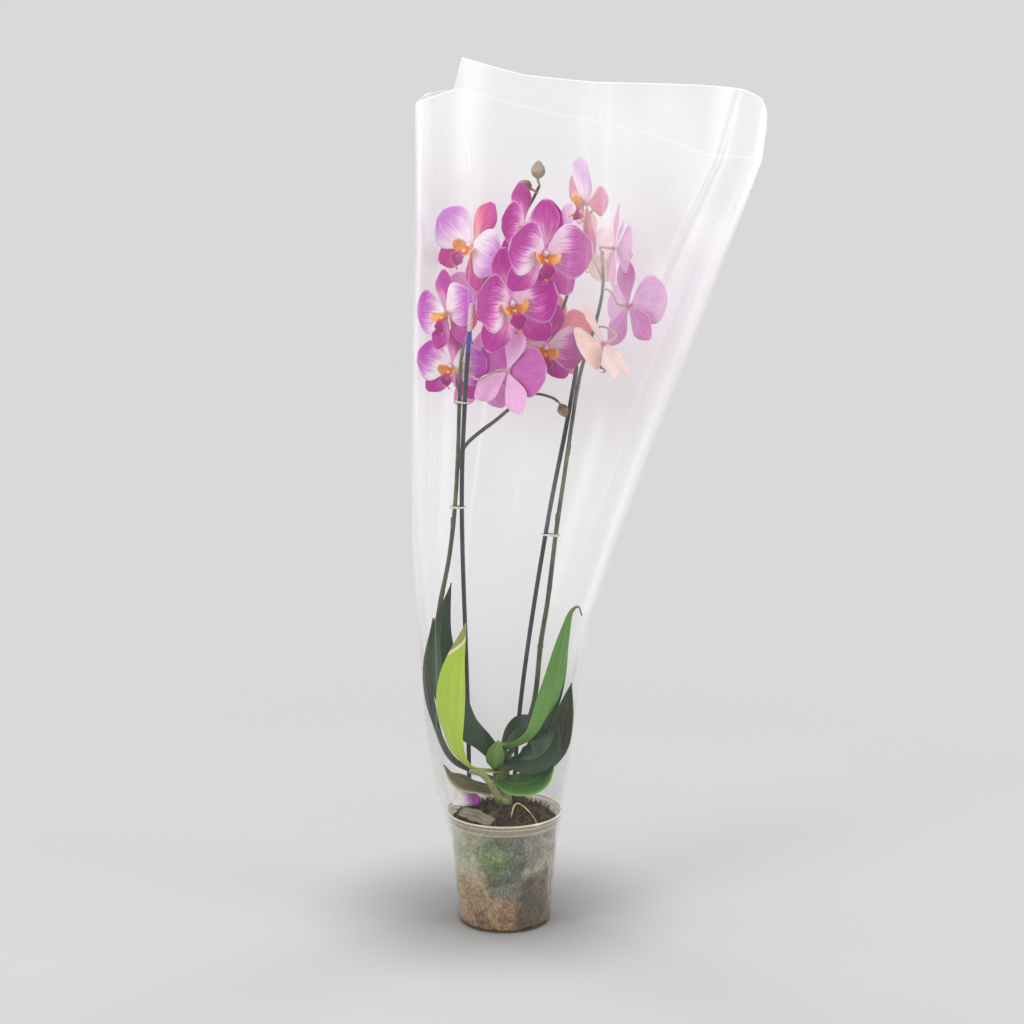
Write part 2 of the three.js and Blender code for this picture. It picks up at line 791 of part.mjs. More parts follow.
// The stalk that carries a bloom, from its spike to just behind the hub.
function pedicel(spec, curves) {
  const matrix = bloomPlace(spec);
  const [which, u] = spec.from;
  const start = curves[which].getPointAt(u);
  const end = point(0, 0, -4 - GAP).applyMatrix4(matrix);
  const behind = point(0, 0, -15).applyMatrix4(matrix);
  const middle = spec.via ? point(...spec.via) : start.clone().lerp(behind, 0.5).add(point(0, 0, 5));
  return stem([start, middle, behind, end], () => PEDICEL_RADIUS, 3, 4);
}

// ---- the film sleeve ----

// Sections of the cone by height: its left and right edge in X and half its depth in Y. The foot
// grips the pot's wall below the rim.
const SLEEVE = {
  left: [
    [88, -56.6],
    [100, -60],
    [110, -63],
    [134, -72],
    [170, -77],
    [215, -83],
    [276, -87],
    [318, -90.5],
    [400, -95],
    [600, -94],
    [700, -90],
    [860, -88],
  ],
  right: [
    [88, 56.4],
    [100, 58.8],
    [110, 61.3],
    [134, 62.8],
    [170, 68.7],
    [215, 75],
    [276, 82],
    [318, 88],
    [400, 115],
    [500, 151],
    [600, 189],
    [700, 225],
    [780, 254],
    [860, 264],
  ],
  depth: [
    [88, 56.4],
    [100, 58.8],
    [110, 61.3],
    [170, 65],
    [276, 73],
    [400, 86],
    [500, 94],
    [600, 101],
    [700, 107],
    [860, 112],
  ],
  // How square the section is: 2 is an ellipse.
  squareness: [
    [112, 2],
    [200, 2.3],
  ],
  // The top edge by the angle round the mouth, 0 at the right and 270 at the front. The front sheet
  // stands higher than the back one, and ends in a peak at its welded edge at the front left.
  top: [
    [0, 790],
    [20, 783],
    [45, 786],
    [90, 822],
    [135, 852],
    [160, 846],
    [180, 833],
    [205, 838],
    [222, 845],
    [226, 875],
    [250, 858],
    [270, 851],
    [300, 849],
    [320, 846],
    [335, 838],
    [345, 825],
    [353, 806],
    [360, 790],
  ],
  angles: [
    0, 10, 21, 33, 45, 57, 68, 79, 90, 101, 112, 123, 135, 147, 159, 170, 180, 190, 201, 213, 222, 226,
    236, 247, 258, 270, 281, 292, 303, 315, 327, 338, 346, 353,
  ],
  levels: [0, 0.016, 0.032, 0.065, 0.14, 0.25, 0.39, 0.55, 0.77, 1],
};

function sleevePoint(angle, z, inset) {
  const left = along(SLEEVE.left, z) + inset;
  const right = along(SLEEVE.right, z) - inset;
  const depth = along(SLEEVE.depth, z) - inset;
  const power = 2 / along(SLEEVE.squareness, z);
  const c = Math.cos(radians(angle));
  const s = Math.sin(radians(angle));
  const x = (left + right) / 2 + ((right - left) / 2) * Math.sign(c) * Math.abs(c) ** power;
  return point(x, depth * Math.sign(s) * Math.abs(s) ** power, z);
}

function sleeve() {
  const { angles, levels } = SLEEVE;
  const count = angles.length;
  const vertices = [];
  for (const inset of [0, FILM_THICKNESS]) {
    for (const level of levels) {
      for (const angle of angles) {
        const z = mix(SLEEVE_FOOT, along(SLEEVE.top, angle), level);
        vertices.push(sleevePoint(angle, z, inset));
      }
    }
  }
  const triangles = [];
  const at = (wall, k, j) => (wall * levels.length + k) * count + (j % count);
  const top = levels.length - 1;
  for (let j = 0; j < count; j++) {
    for (let k = 0; k < top; k++) {
      triangles.push([at(0, k, j), at(0, k, j + 1), at(0, k + 1, j + 1)]);
      triangles.push([at(0, k, j), at(0, k + 1, j + 1), at(0, k + 1, j)]);
      triangles.push([at(1, k, j), at(1, k + 1, j + 1), at(1, k, j + 1)]);
      triangles.push([at(1, k, j), at(1, k + 1, j), at(1, k + 1, j + 1)]);
    }
    triangles.push([at(0, 0, j), at(1, 0, j), at(1, 0, j + 1)]);
    triangles.push([at(0, 0, j), at(1, 0, j + 1), at(0, 0, j + 1)]);
    triangles.push([at(0, top, j), at(0, top, j + 1), at(1, top, j + 1)]);
    triangles.push([at(0, top, j), at(1, top, j + 1), at(1, top, j)]);
  }
  return solidFrom(vertices, triangles);
}

// ---- the assembly ----

const orchid = new THREE.Group();

function add(name, solid, colour, roughness = 0.5, extra = {}) {
  const material = new THREE.MeshStandardMaterial({ color: colour, roughness, metalness: 0, ...extra });
  const mesh = new THREE.Mesh(geometryOf(solid), material);
  mesh.name = name;
  orchid.add(mesh);
}

const clear = { transparent: true, opacity: 0.3 };
add("pot", pot(), COLOUR.pot, 0.2, clear);
const bark = barkMedium();
const barkHole = bark.add(bark.translate(0, 0, GAP));
add("bark_medium", bark, COLOUR.bark, 0.95);
add("surface_root", root(), COLOUR.root, 0.8);
add("crown", crown(), COLOUR.stem, 0.6);

const crownHole = crown(GAP);
for (const [name, spec] of Object.entries(LEAVES)) {
  add(name, cut(leaf(spec), crownHole), spec.colour ?? COLOUR.leaf, 0.35);
}
const oldStub = stem(
  path([1, -5, 126], [-6, -21, 136], [-13, -30, 152], [-23, -36, 166], [-35, -38, 170]),
  (u) => mix(4.2, 3, u),
  7,
);
add("old_stub", cut(oldStub, crownHole), COLOUR.paleLeaf, 0.5);

const curves = {
  left: new THREE.CatmullRomCurve3(SPIKE_LEFT, false, "centripetal"),
  branch: new THREE.CatmullRomCurve3(SIDE_BRANCH, false, "centripetal"),
  right: new THREE.CatmullRomCurve3(SPIKE_RIGHT, false, "centripetal"),
};
const stalksFrom = (names) => BLOOMS.filter((b) => names.includes(b.from[0])).map((b) => pedicel(b, curves));

const BUDS = {
  bud_top: { foot: point(33, -3, 762), tip: point(34, -5, 780), radius: 7.6 },
  bud_side: { foot: point(27, 0, 752), tip: point(14, -1, 759), radius: 6.6 },
  bud_branch: { foot: point(56, -3.5, 540), tip: point(62, -6, 527), radius: 6 },
};
const budStalk = (from, bud) => {
  const back = bud.foot.clone().sub(bud.tip).normalize();
  const end = bud.foot.clone().addScaledVector(back, GAP);
  return stem([from, from.clone().lerp(end, 0.5), end], () => 1.5, 2, 5);
};
add(
  "spike_left",
  cut(
    joined([
      stem(SPIKE_LEFT, jointed(STEM_RADIUS, 9, 0.5), 27, 6),
      stem(SIDE_BRANCH, jointed(2, 5, 0.75), 12, 5),
      stem(BUD_TWIG, () => 1.5, 3, 5),
      budStalk(point(35, 2, 755), BUDS.bud_top),
      budStalk(point(33, 5, 748), BUDS.bud_side),
      budStalk(point(53, -1, 543), BUDS.bud_branch),
      ...stalksFrom(["left", "branch"]),
    ]),
    crownHole,
  ),
  COLOUR.stem,
  0.5,
);
add(
  "spike_right",
  cut(joined([stem(SPIKE_RIGHT, jointed(STEM_RADIUS, 8, 0.55), 22, 6), ...stalksFrom(["right"])]), crownHole),
  COLOUR.stem,
  0.5,
);
for (const name of Object.keys(STAKES)) add(name, stake(name), COLOUR.stake, 0.45);
for (const [name, bud] of Object.entries(BUDS)) add(name, budBody(bud.foot, bud.tip, bud.radius), COLOUR.bud);

const TIES = {
  tie_left_low: { height: 434, spike: curves.left, stakeName: "stake_left" },
  tie_left_high: { height: 544, spike: curves.left, stakeName: "stake_left" },
  tie_right: { height: 405, spike: curves.right, stakeName: "stake_right" },
};

// Where a rising curve passes a height.
function atHeight(curve, z) {
  let low = 0;
  let high = 1;
  for (let i = 0; i < 30; i++) {
    const middle = (low + high) / 2;
    if (curve.getPointAt(middle).z < z) low = middle;
    else high = middle;
  }
  return curve.getPointAt(low);
}

for (const [name, tie] of Object.entries(TIES)) {
  const a = atHeight(tie.spike, tie.height);
  const b = atHeight(new THREE.CatmullRomCurve3(STAKES[tie.stakeName], false, "centripetal"), tie.height);
  const apart = b.clone().sub(a);
  const reach = apart.length() / 2 + STEM_RADIUS + TIE_RADIUS + 1.4;
  const across = apart.normalize();
  const other = UP.clone().cross(across).normalize();
  const middle = a.clone().add(b).multiplyScalar(0.5);
  const narrow = STEM_RADIUS + TIE_RADIUS + 1.9;
  add(name, ring(middle, across, other, reach, narrow, TIE_RADIUS), COLOUR.tie, 0.6);
}

BLOOMS.forEach((spec, i) => {
  const number = String(i + 1).padStart(2, "0");
  const matrix = bloomPlace(spec);
  add("bloom_" + number, placed(tepals(spec.size, spec.lean), matrix), COLOUR.bloom, 0.5);
  add("lip_" + number, placed(lip(spec.size * BLOOM.lip), matrix), COLOUR.lip, 0.5);
});

// The fallen bloom: withered tepals folded over each other, lying on the bark by the rim.
function fallenBloom() {
  const petals = [-1, 0, 1].map((i) =>
    blade({
      midrib: path([-28, 1, 125], [-39, 1 + 6 * i, 135 + 4 * i], [-54, 3 + 9 * i, 133 + 6 * i]),
      facing: path([0, -0.3, 1], [0.1, 0.5 * i - 0.4, 1], [-0.3, 0.8 * i - 0.5, 0.8]),
      widthAt: (u) => 19 * Math.sin(Math.PI * mix(0.12, 0.85, u)),
      lift: (u, s) => -1.5 * s * s + 0.8 * Math.sin(5 * u + 3 * s),
      thickness: 1.6,
      edgeThickness: 0.9,
      steps: 3,
      across: 2,
    }),
  );
  const heart = new THREE.SphereGeometry(5.5, 6, 4);
  heart.translate(-29, 1, 125);
  return joined([solidOf(heart), ...petals]);
}
add("fallen_bloom", cut(fallenBloom(), barkHole, stake("stake_left", GAP)), COLOUR.fallen, 0.7);

add("sleeve", sleeve(), COLOUR.film, 0.15, clear);

export default orchid;
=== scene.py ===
# %% [markdown]
# # A moth orchid in its clear pot and film
# The real thing is a potted plant as a florist sells it: a clear nursery pot full of bark, two
# flower spikes tied to stakes, and a cone of clear film pulled up round it all. The frame that is
# loaded here fixes where each piece stands and how large it is. This script gives every piece its
# fine shape and its finish. Tables are in millimetres, because that is how one would measure the
# plant, and each mesh is made in metres.

import math

import bmesh
import bpy
import mathutils
import numpy as np
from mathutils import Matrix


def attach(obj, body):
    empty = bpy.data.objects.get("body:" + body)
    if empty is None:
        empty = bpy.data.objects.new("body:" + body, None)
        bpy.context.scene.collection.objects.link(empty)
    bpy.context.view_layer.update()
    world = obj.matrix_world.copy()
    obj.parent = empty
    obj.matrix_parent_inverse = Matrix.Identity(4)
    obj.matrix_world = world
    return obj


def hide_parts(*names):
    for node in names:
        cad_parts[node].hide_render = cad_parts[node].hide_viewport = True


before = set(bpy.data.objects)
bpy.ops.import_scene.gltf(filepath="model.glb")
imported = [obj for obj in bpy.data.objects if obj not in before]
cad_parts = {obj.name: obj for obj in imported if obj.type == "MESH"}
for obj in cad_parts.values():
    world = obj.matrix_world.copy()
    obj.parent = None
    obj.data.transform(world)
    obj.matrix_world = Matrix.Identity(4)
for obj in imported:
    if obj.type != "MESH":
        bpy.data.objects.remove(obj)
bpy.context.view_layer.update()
print("frame nodes:", len(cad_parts))


def in_scene(name, data):
    """A new object in the scene that holds a mesh, a light or the camera."""
    piece = bpy.data.objects.new(name, data)
    bpy.context.scene.collection.objects.link(piece)
    return piece


# %% [markdown]
# ## Curves
# Stems, leaves and petals all follow a line that bends smoothly through a few known places. A
# centripetal Catmull-Rom spline passes through its places without loops, so the same few numbers
# that place a stem in the frame place its fine mesh here.

# %% A smooth curve through places
MM = 0.001
FINE = 24


def rows(*places):
    return np.array(places, float)


def unit(vectors):
    return vectors / np.maximum(np.linalg.norm(vectors, axis=-1, keepdims=True), 1e-12)


def spline(places, count):
    """A smooth curve through the places, as count + 1 points at equal distances."""
    p = rows(*places)
    p = np.vstack([2 * p[0] - p[1], p, 2 * p[-1] - p[-2]])
    t = np.linspace(0, 1, FINE + 1)[:-1, None]
    runs = []
    for a, b, c, d in zip(p, p[1:], p[2:], p[3:]):
        ka, kb, kc = (max(np.linalg.norm(v), 1e-9) ** 0.5 for v in (b - a, c - b, d - c))
        out = ((b - a) / ka - (c - a) / (ka + kb) + (c - b) / kb) * kb
        into = ((c - b) / kb - (d - b) / (kb + kc) + (d - c) / kc) * kb
        runs.append(b + out * t + (3 * (c - b) - 2 * out - into) * t**2 + (2 * (b - c) + out + into) * t**3)
    fine = np.vstack([*runs, p[-2:-1]])
    travelled = np.concatenate([[0], np.cumsum(np.linalg.norm(np.diff(fine, axis=0), axis=1))])
    at = np.linspace(0, travelled[-1], count + 1)
    return np.stack([np.interp(at, travelled, fine[:, k]) for k in range(3)], axis=1)


def stepped(pairs, x):
    """The value at x of a line through [x, value] pairs."""
    table = rows(*pairs)
    return np.interp(x, table[:, 0], table[:, 1])


def eased(pairs, x):
    """The same, with its corners rounded: the line is averaged over a short stretch."""
    table = rows(*pairs)
    reach = 0.04 * (table[-1, 0] - table[0, 0])
    return sum(stepped(pairs, x + k * reach) for k in (-1, -0.5, 0, 0.5, 1)) / 5


# %% [markdown]
# ## Gathering a mesh
# A bloom is five sheets and a column, so it is easiest to make each part as arrays and gather them
# into one mesh. Beside its corners each part carries two values for the finishes: a UV place (how
# far along it and how far across it a point lies) and `under`, which is 1 on a sheet's back.

# %% Gathered parts
def grid_faces(rows_count, columns, first=0, flip=False, closed=False):
    """Quads between the rows of a grid of corners."""
    faces = []
    for i in range(rows_count - 1):
        for j in range(columns if closed else columns - 1):
            a, b = first + i * columns + j, first + i * columns + (j + 1) % columns
            quad = (a, b, b + columns, a + columns)
            faces.append(quad[::-1] if flip else quad)
    return faces


class Parts:
    """Corners, faces and finish values of the parts of one piece."""

    def __init__(self):
        self.corners, self.faces, self.uv, self.under, self.slots = [], [], [], [], []
        self.count = 0

    def add(self, corners, faces, uv, under, slot=0):
        self.corners.append(corners)
        self.faces += [tuple(k + self.count for k in face) for face in faces]
        self.uv.append(uv)
        self.under.append(under)
        self.slots += [slot] * len(faces)
        self.count += len(corners)

    def moved(self, matrix):
        self.corners = [c @ matrix[:3, :3].T + matrix[:3, 3] for c in self.corners]
        return self

    def mesh(self, name, finishes):
        mesh = bpy.data.meshes.new(name)
        corners = np.vstack(self.corners) * MM
        mesh.from_pydata(corners.tolist(), [], self.faces)
        uv = np.vstack(self.uv)
        layer = mesh.uv_layers.new(name="along_across")
        owners = np.zeros(len(mesh.loops), int)
        mesh.loops.foreach_get("vertex_index", owners)
        layer.data.foreach_set("uv", uv[owners].ravel())
        mesh.attributes.new("under", "FLOAT", "POINT").data.foreach_set("value", np.concatenate(self.under))
        for finish in finishes:
            mesh.materials.append(finish)
        mesh.polygons.foreach_set("material_index", self.slots)
        mesh.shade_smooth()
        mesh.update()
        return mesh


def stand(mesh, slot, *nodes):
    """Puts a mesh in the scene as the piece that stands for these nodes of the frame."""
    piece = in_scene(mesh.name, mesh)
    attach(piece, "root")
    if nodes:
        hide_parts(*nodes)
    return piece


# %% [markdown]
# ## Sheets and tubes
# A leaf or a petal is a sheet that bulges along its midrib and gets thin at its edges. Both of its
# faces are built from one middle surface, moved out and in along that surface's own normal, so the
# thickness is right however much the sheet folds. A tube is a ring of corners carried along a
# curve, turned as little as possible from ring to ring.

# %% A sheet along a midrib
SPINE_STEPS = 240


def sampled(track, u):
    """The rows of an array at the places u, from 0 at its first row to 1 at its last."""
    last = len(track) - 1
    return np.stack([np.interp(u * last, np.arange(last + 1), track[:, k]) for k in range(3)], 1)


def rim_of(last, columns):
    """The corners round the edge of a grid whose last row is given, in order."""
    rim = [i * columns for i in range(last + 1)]
    rim += [last * columns + j for j in range(1, columns)]
    rim += [i * columns + columns - 1 for i in range(last - 1, -1, -1)]
    return rim + list(range(columns - 2, 0, -1))


def sheet(midrib, facing, width_at, lift, thick, edge, steps, across, crowd=1.0):
    """Corners, faces, UV and `under` of a closed sheet. crowd above 1 sets its rows closer at the tip."""
    u = 1 - (1 - np.linspace(0, 1, steps + 1)) ** crowd
    spine = spline(midrib, SPINE_STEPS)
    ahead = sampled(unit(np.gradient(spine, axis=0)), u)
    spine = sampled(spine, u)
    side = unit(np.cross(ahead, sampled(rows(*facing), u)))
    up = unit(np.cross(side, ahead))
    s = np.linspace(-1, 1, across + 1)
    uu, ss = np.meshgrid(u, s, indexing="ij")
    middle = spine[:, None] + side[:, None] * (ss * width_at(u)[:, None] / 2)[..., None]
    middle = middle + up[:, None] * lift(uu, ss)[..., None]
    normal = unit(np.cross(np.gradient(middle, axis=1), np.gradient(middle, axis=0)))
    normal = normal * np.sign(np.sum(normal * up[:, None], axis=-1, keepdims=True) + 1e-9)
    half = (thick + (edge - thick) * ss**2)[..., None] / 2
    columns = across + 1
    count = (steps + 1) * columns
    corners = np.vstack([(middle + normal * half).reshape(-1, 3), (middle - normal * half).reshape(-1, 3)])
    faces = grid_faces(steps + 1, columns) + grid_faces(steps + 1, columns, count, flip=True)
    rim = rim_of(steps, columns)
    faces += [(a, b, b + count, a + count) for a, b in zip(rim, rim[1:] + rim[:1])]
    uv = np.stack([uu.ravel(), (ss.ravel() + 1) / 2], axis=1)
    under = np.repeat([0.0, 1.0], count)
    return corners, outward(corners, faces), np.vstack([uv, uv]), under


def outward(corners, faces):
    """The faces, turned round if the closed shape they make is inside out."""
    fans = np.array([(face[0], face[k], face[k + 1]) for face in faces for k in range(1, len(face) - 1)])
    a, b, c = (corners[fans[:, k]] for k in range(3))
    return faces if np.sum(a * np.cross(b, c)) > 0 else [tuple(face[::-1]) for face in faces]


# %% A tube along a curve
def tube(places, radii, sides, steps, flat=1.0):
    """Corners, faces, UV and `under` of a closed tube. radii are its radius at equal distances."""
    spine = spline(places, steps)
    ahead = unit(np.gradient(spine, axis=0))
    u = np.linspace(0, 1, steps + 1)
    radius = np.interp(u, np.linspace(0, 1, len(radii)), radii)
    normal = unit(np.cross(ahead[0], rows([0.3, 0.5, 1])))[0]
    corners, uv = [], []
    turns = np.arange(sides) * 2 * math.pi / sides
    for i in range(steps + 1):
        normal = unit(normal - ahead[i] * np.dot(normal, ahead[i]))
        other = np.cross(ahead[i], normal)
        ring = np.outer(np.cos(turns), normal) + flat * np.outer(np.sin(turns), other)
        corners.append(spine[i] + radius[i] * ring)
        uv.append(np.stack([np.full(sides, u[i]), turns / (2 * math.pi)], axis=1))
    faces = grid_faces(steps + 1, sides, closed=True)
    faces.append(tuple(range(sides))[::-1])
    faces.append(tuple(range(steps * sides, (steps + 1) * sides)))
    corners = np.vstack(corners)
    return corners, outward(corners, faces), np.vstack(uv), np.zeros(len(corners))


# %% [markdown]
# ## Writing shader maths as Python
# Finishes are node trees. Long chains of Math nodes are hard to read, so `Wire` wraps one output
# socket and lets plain operators add the nodes: `1 - mask * 0.5` makes two. `Paint` is one material,
# with a method for any other node and short ones for the few that are used again and again.

# %% Wire and Paint
def tone(red, green, blue_reflection):
    """A colour as read off a screen, as the linear values that shaders use."""
    shares = [value / 255 for value in (red, green, blue_reflection)]
    linear = [v / 12.92 if v <= 0.04045 else ((v + 0.055) / 1.055) ** 2.4 for v in shares]
    return (*linear, 1.0)


class Wire:
    """An output socket that can be used in sums."""

    def __init__(self, paint, socket):
        self.paint, self.socket = paint, socket

    def maths(self, operation, first, second=None, clamp=False):
        values = {"0": first} if second is None else {"0": first, "1": second}
        return self.paint.node("Math", {"operation": operation, "use_clamp": clamp}, values)

    def __add__(self, other):
        return self.maths("ADD", self, other)

    def __sub__(self, other):
        return self.maths("SUBTRACT", self, other)

    def __rsub__(self, other):
        return self.maths("SUBTRACT", other, self)

    def __mul__(self, other):
        return self.maths("MULTIPLY", self, other)

    def __truediv__(self, other):
        return self.maths("DIVIDE", self, other)

    def __pow__(self, other):
        return self.maths("POWER", self, other)

    __radd__, __rmul__ = __add__, __mul__

    def clamped(self):
        return self.maths("ADD", self, 0.0, clamp=True)

    def absolute(self):
        return self.maths("ABSOLUTE", self)

    def sine(self):
        return self.maths("SINE", self)

    def at_least(self, other):
        return self.maths("MAXIMUM", self, other)

    def ramp(self, low, high, start=0.0, end=1.0):
        """Follows the value from low to high, as a smooth rise from start to end."""
        values = {"Value": self, "From Min": low, "From Max": high, "To Min": start, "To Max": end}
        return self.paint.node("MapRange", {"interpolation_type": "SMOOTHSTEP"}, values)


class Paint:
    """One material and the nodes that make it."""

    def __init__(self, name):
        self.material = bpy.data.materials.new(name)
        self.material.use_nodes = True
        self.tree = self.material.node_tree
        self.tree.nodes.clear()

    def node(self, kind, settings=None, values=None, output=0):
        """Adds a node: its settings first, then the values or wires of its sockets.

        Three values together are a colour as read off a screen.
        """
        made = self.tree.nodes.new("ShaderNode" + kind)
        for key, value in (settings or {}).items():
            if key == "stops":
                ramp = made.color_ramp.elements
                ramp.remove(ramp[1])
                ramp[0].position = value[0][0]
                ramp[0].color = tone(*value[0][1])
                for place, colour in value[1:]:
                    ramp.new(place).color = tone(*colour)
            else:
                setattr(made, key, value)
        for key, value in (values or {}).items():
            socket = made.inputs[int(key)] if key.isdigit() else made.inputs[key]
            if isinstance(value, Wire):
                self.tree.links.new(value.socket, socket)
            elif isinstance(value, tuple) and len(value) == 3:
                socket.default_value = tone(*value)
            else:
                socket.default_value = value
        return Wire(self, made.outputs[output])

    def place(self):
        return self.node("TexCoord", output=3)

    def axes(self, vector):
        return [self.node("SeparateXYZ", {}, {"Vector": vector}, k) for k in range(3)]

    def vector(self, x, y, z):
        return self.node("CombineXYZ", {}, {"X": x, "Y": y, "Z": z})

    def along_across(self):
        along, across, _ = self.axes(self.node("UVMap", {"uv_map": "along_across"}))
        return along, across

    def value(self, name):
        return self.node("Attribute", {"attribute_name": name}, output=2)

    def noise(self, vector, scale, detail=3.0, roughness=0.5):
        values = {"Vector": vector, "Scale": scale, "Detail": detail, "Roughness": roughness}
        return self.node("TexNoise", {}, values)

    def cells(self, vector, scale):
        return self.node("TexVoronoi", {}, {"Vector": vector, "Scale": scale})

    def facing(self):
        """Rises towards 1 where the surface is seen edge on, for gloss."""
        return self.node("LayerWeight", {}, {"Blend": 0.5}, 1)

    def colours(self, factor, *stops):
        return self.node("ValToRGB", {"stops": stops}, {"Fac": factor})

    def mix(self, factor, first, second):
        return self.node("Mix", {"data_type": "RGBA"}, {"0": factor, "6": first, "7": second}, 2)

    def bump(self, height, strength, distance):
        return self.node("Bump", {}, {"Height": height, "Strength": strength, "Distance": distance})

    def surface(self, **values):
        """A Principled shader: base_color=..., roughness=... and so on."""
        named = {key.replace("_", " ").title().replace("Ior", "IOR"): value for key, value in values.items()}
        return self.node("BsdfPrincipled", {}, named)

    def blend(self, factor, first, second):
        return self.node("MixShader", {}, {"0": factor, "1": first, "2": second})

    def done(self, shader):
        output = self.tree.nodes.new("ShaderNodeOutputMaterial")
        self.tree.links.new(shader.socket, output.inputs["Surface"])
        return self.material


# %% [markdown]
# ## Rods and scattered bits, by Geometry Nodes
# Spikes, flower stalks, stakes, ties and roots are all rods along a path. One node tree makes them:
# it turns the edges of a path mesh into curves, sweeps a circle along them, scaled by a radius kept on
# each point, and keeps how far along its rod a point lies, as an attribute named along. A second tree
# scatters copies of small shapes over a mesh, for bark chips, crumbs, fibres and moss threads. Node
# trees suit this because one small graph makes thousands of even, repeatable copies.

# %% The trees' common steps
def new_tree(name, **inputs):
    """A tree with these inputs, its group input and output nodes, and a function that adds nodes."""
    tree = bpy.data.node_groups.new(name, "GeometryNodeTree")
    tree.interface.new_socket("Geometry", in_out="INPUT", socket_type="NodeSocketGeometry")
    for label, kind in inputs.items():
        tree.interface.new_socket(label, in_out="INPUT", socket_type="NodeSocket" + kind)
    tree.interface.new_socket("Geometry", in_out="OUTPUT", socket_type="NodeSocketGeometry")
    given = tree.nodes.new("NodeGroupInput")
    result = tree.nodes.new("NodeGroupOutput")

    def add(kind, settings=None, **values):
        made = tree.nodes.new(kind if kind.startswith("FunctionNode") else "GeometryNode" + kind)
        for key, value in (settings or {}).items():
            setattr(made, key, value)
        for key, value in values.items():
            named = (s for s in made.inputs if key in (s.identifier, s.name.replace(" ", "_")))
            socket = next(s for s in named if s.enabled)
            if isinstance(value, bpy.types.NodeSocket):
                tree.links.new(value, socket)
            else:
                socket.default_value = value
        return made

    def finish(geometry):
        whole = add("RealizeInstances", Geometry=geometry)
        dressed = add("SetMaterial", Geometry=whole.outputs[0], Material=given.outputs["Finish"])
        tree.links.new(dressed.outputs[0], result.inputs[0])
        return tree

    return given, add, finish


def grown(base, tree, inputs):
    """The plain mesh that a tree makes from a base mesh."""
    seed = in_scene(base.name, base)
    modifier = seed.modifiers.new("grow", "NODES")
    modifier.node_group = tree
    for socket in tree.interface.items_tree:
        if socket.in_out == "INPUT" and socket.name in inputs:
            modifier[socket.identifier] = inputs[socket.name]
    whole = bpy.data.meshes.new_from_object(seed.evaluated_get(bpy.context.evaluated_depsgraph_get()))
    whole.name = base.name
    bpy.data.objects.remove(seed)
    return whole


# %% Rods along paths
def rod_tree():
    given, add, finish = new_tree("rods_along_paths", Sides="Int", Finish="Material")
    paths = add("MeshToCurve", Mesh=given.outputs["Geometry"])
    along = add("SplineParameter")
    marked = add(
        "StoreNamedAttribute",
        {"domain": "POINT", "data_type": "FLOAT"},
        Geometry=paths.outputs[0],
        Name="along",
        Value=along.outputs["Factor"],
    )
    radius = add("InputNamedAttribute", {"data_type": "FLOAT"}, Name="rod_radius")
    circle = add("CurvePrimitiveCircle", Resolution=given.outputs["Sides"], Radius=1.0)
    rods = add(
        "CurveToMesh",
        Curve=marked.outputs[0],
        Profile_Curve=circle.outputs[0],
        Scale=radius.outputs[0],
        Fill_Caps=True,
    )
    smooth = add("SetShadeSmooth", Geometry=rods.outputs[0])
    return finish(smooth.outputs[0])


ROD_TREE = rod_tree()


def rods(name, runs, sides, finish):
    """Rods along runs of (points, radii), both in millimetres, as one plain mesh."""
    base = bpy.data.meshes.new(name)
    corners = np.vstack([points for points, _ in runs]) * MM
    edges, first = [], 0
    for points, _ in runs:
        edges += [(first + k, first + k + 1) for k in range(len(points) - 1)]
        first += len(points)
    base.from_pydata(corners.tolist(), edges, [])
    radii = np.concatenate([np.broadcast_to(radii, len(points)) for points, radii in runs]) * MM
    base.attributes.new("rod_radius", "FLOAT", "POINT").data.foreach_set("value", radii)
    return grown(base, ROD_TREE, {"Sides": sides, "Finish": finish})


# %% Copies scattered over a mesh
def scatter_tree():
    sizes = {"Smallest": "Float", "Largest": "Float"}
    given, add, finish = new_tree(
        "scattered_copies", Shape="Object", Density="Float", Seed="Int", **sizes, Finish="Material"
    )
    spots = add(
        "DistributePointsOnFaces",
        Mesh=given.outputs["Geometry"],
        Density=given.outputs["Density"],
        Seed=given.outputs["Seed"],
    )
    shape = add("ObjectInfo", Object=given.outputs["Shape"])
    size = add(
        "FunctionNodeRandomValue",
        Min_001=given.outputs["Smallest"],
        Max_001=given.outputs["Largest"],
        Seed=given.outputs["Seed"],
    )
    turn = add(
        "FunctionNodeRandomValue",
        {"data_type": "FLOAT_VECTOR"},
        Min=(-0.5, -0.5, -3.1),
        Max=(0.5, 0.5, 3.1),
        Seed=given.outputs["Seed"],
    )
    euler = add("FunctionNodeEulerToRotation", Euler=turn.outputs[0])
    turned = add(
        "FunctionNodeRotateRotation",
        {"rotation_space": "LOCAL"},
        Rotation=spots.outputs["Rotation"],
        Rotate_By=euler.outputs[0],
    )
    copies = add(
        "InstanceOnPoints",
        Points=spots.outputs[0],
        Instance=shape.outputs["Geometry"],
        Rotation=turned.outputs[0],
        Scale=size.outputs[1],
    )
    return finish(copies.outputs[0])


SCATTER_TREE = scatter_tree()


def scattered(name, ground, shape, density, seed, smallest, largest, finish):
    """Copies of a shape, a mesh one unit across, standing on a ground mesh. Density is per square metre."""
    mould = in_scene("mould", shape)
    ground = ground.copy()
    ground.name = name
    inputs = {"Shape": mould, "Density": density, "Seed": seed, "Finish": finish}
    whole = grown(ground, SCATTER_TREE, {**inputs, "Smallest": smallest, "Largest": largest})
    bpy.data.objects.remove(mould)
    whole.name = name
    return whole


# %% [markdown]
# # The pot
# Nursery orchid pots are moulded from clear polypropylene, so that the roots get light: a thin
# tapered wall, a doubled lip that stacks into the next pot, a small foot and a ring of drain holes.
# Anything moulded round an axis is a turned outline. The outline is drawn once, round the whole
# wall, outside and in, and a finely cut circle of them makes the shell.

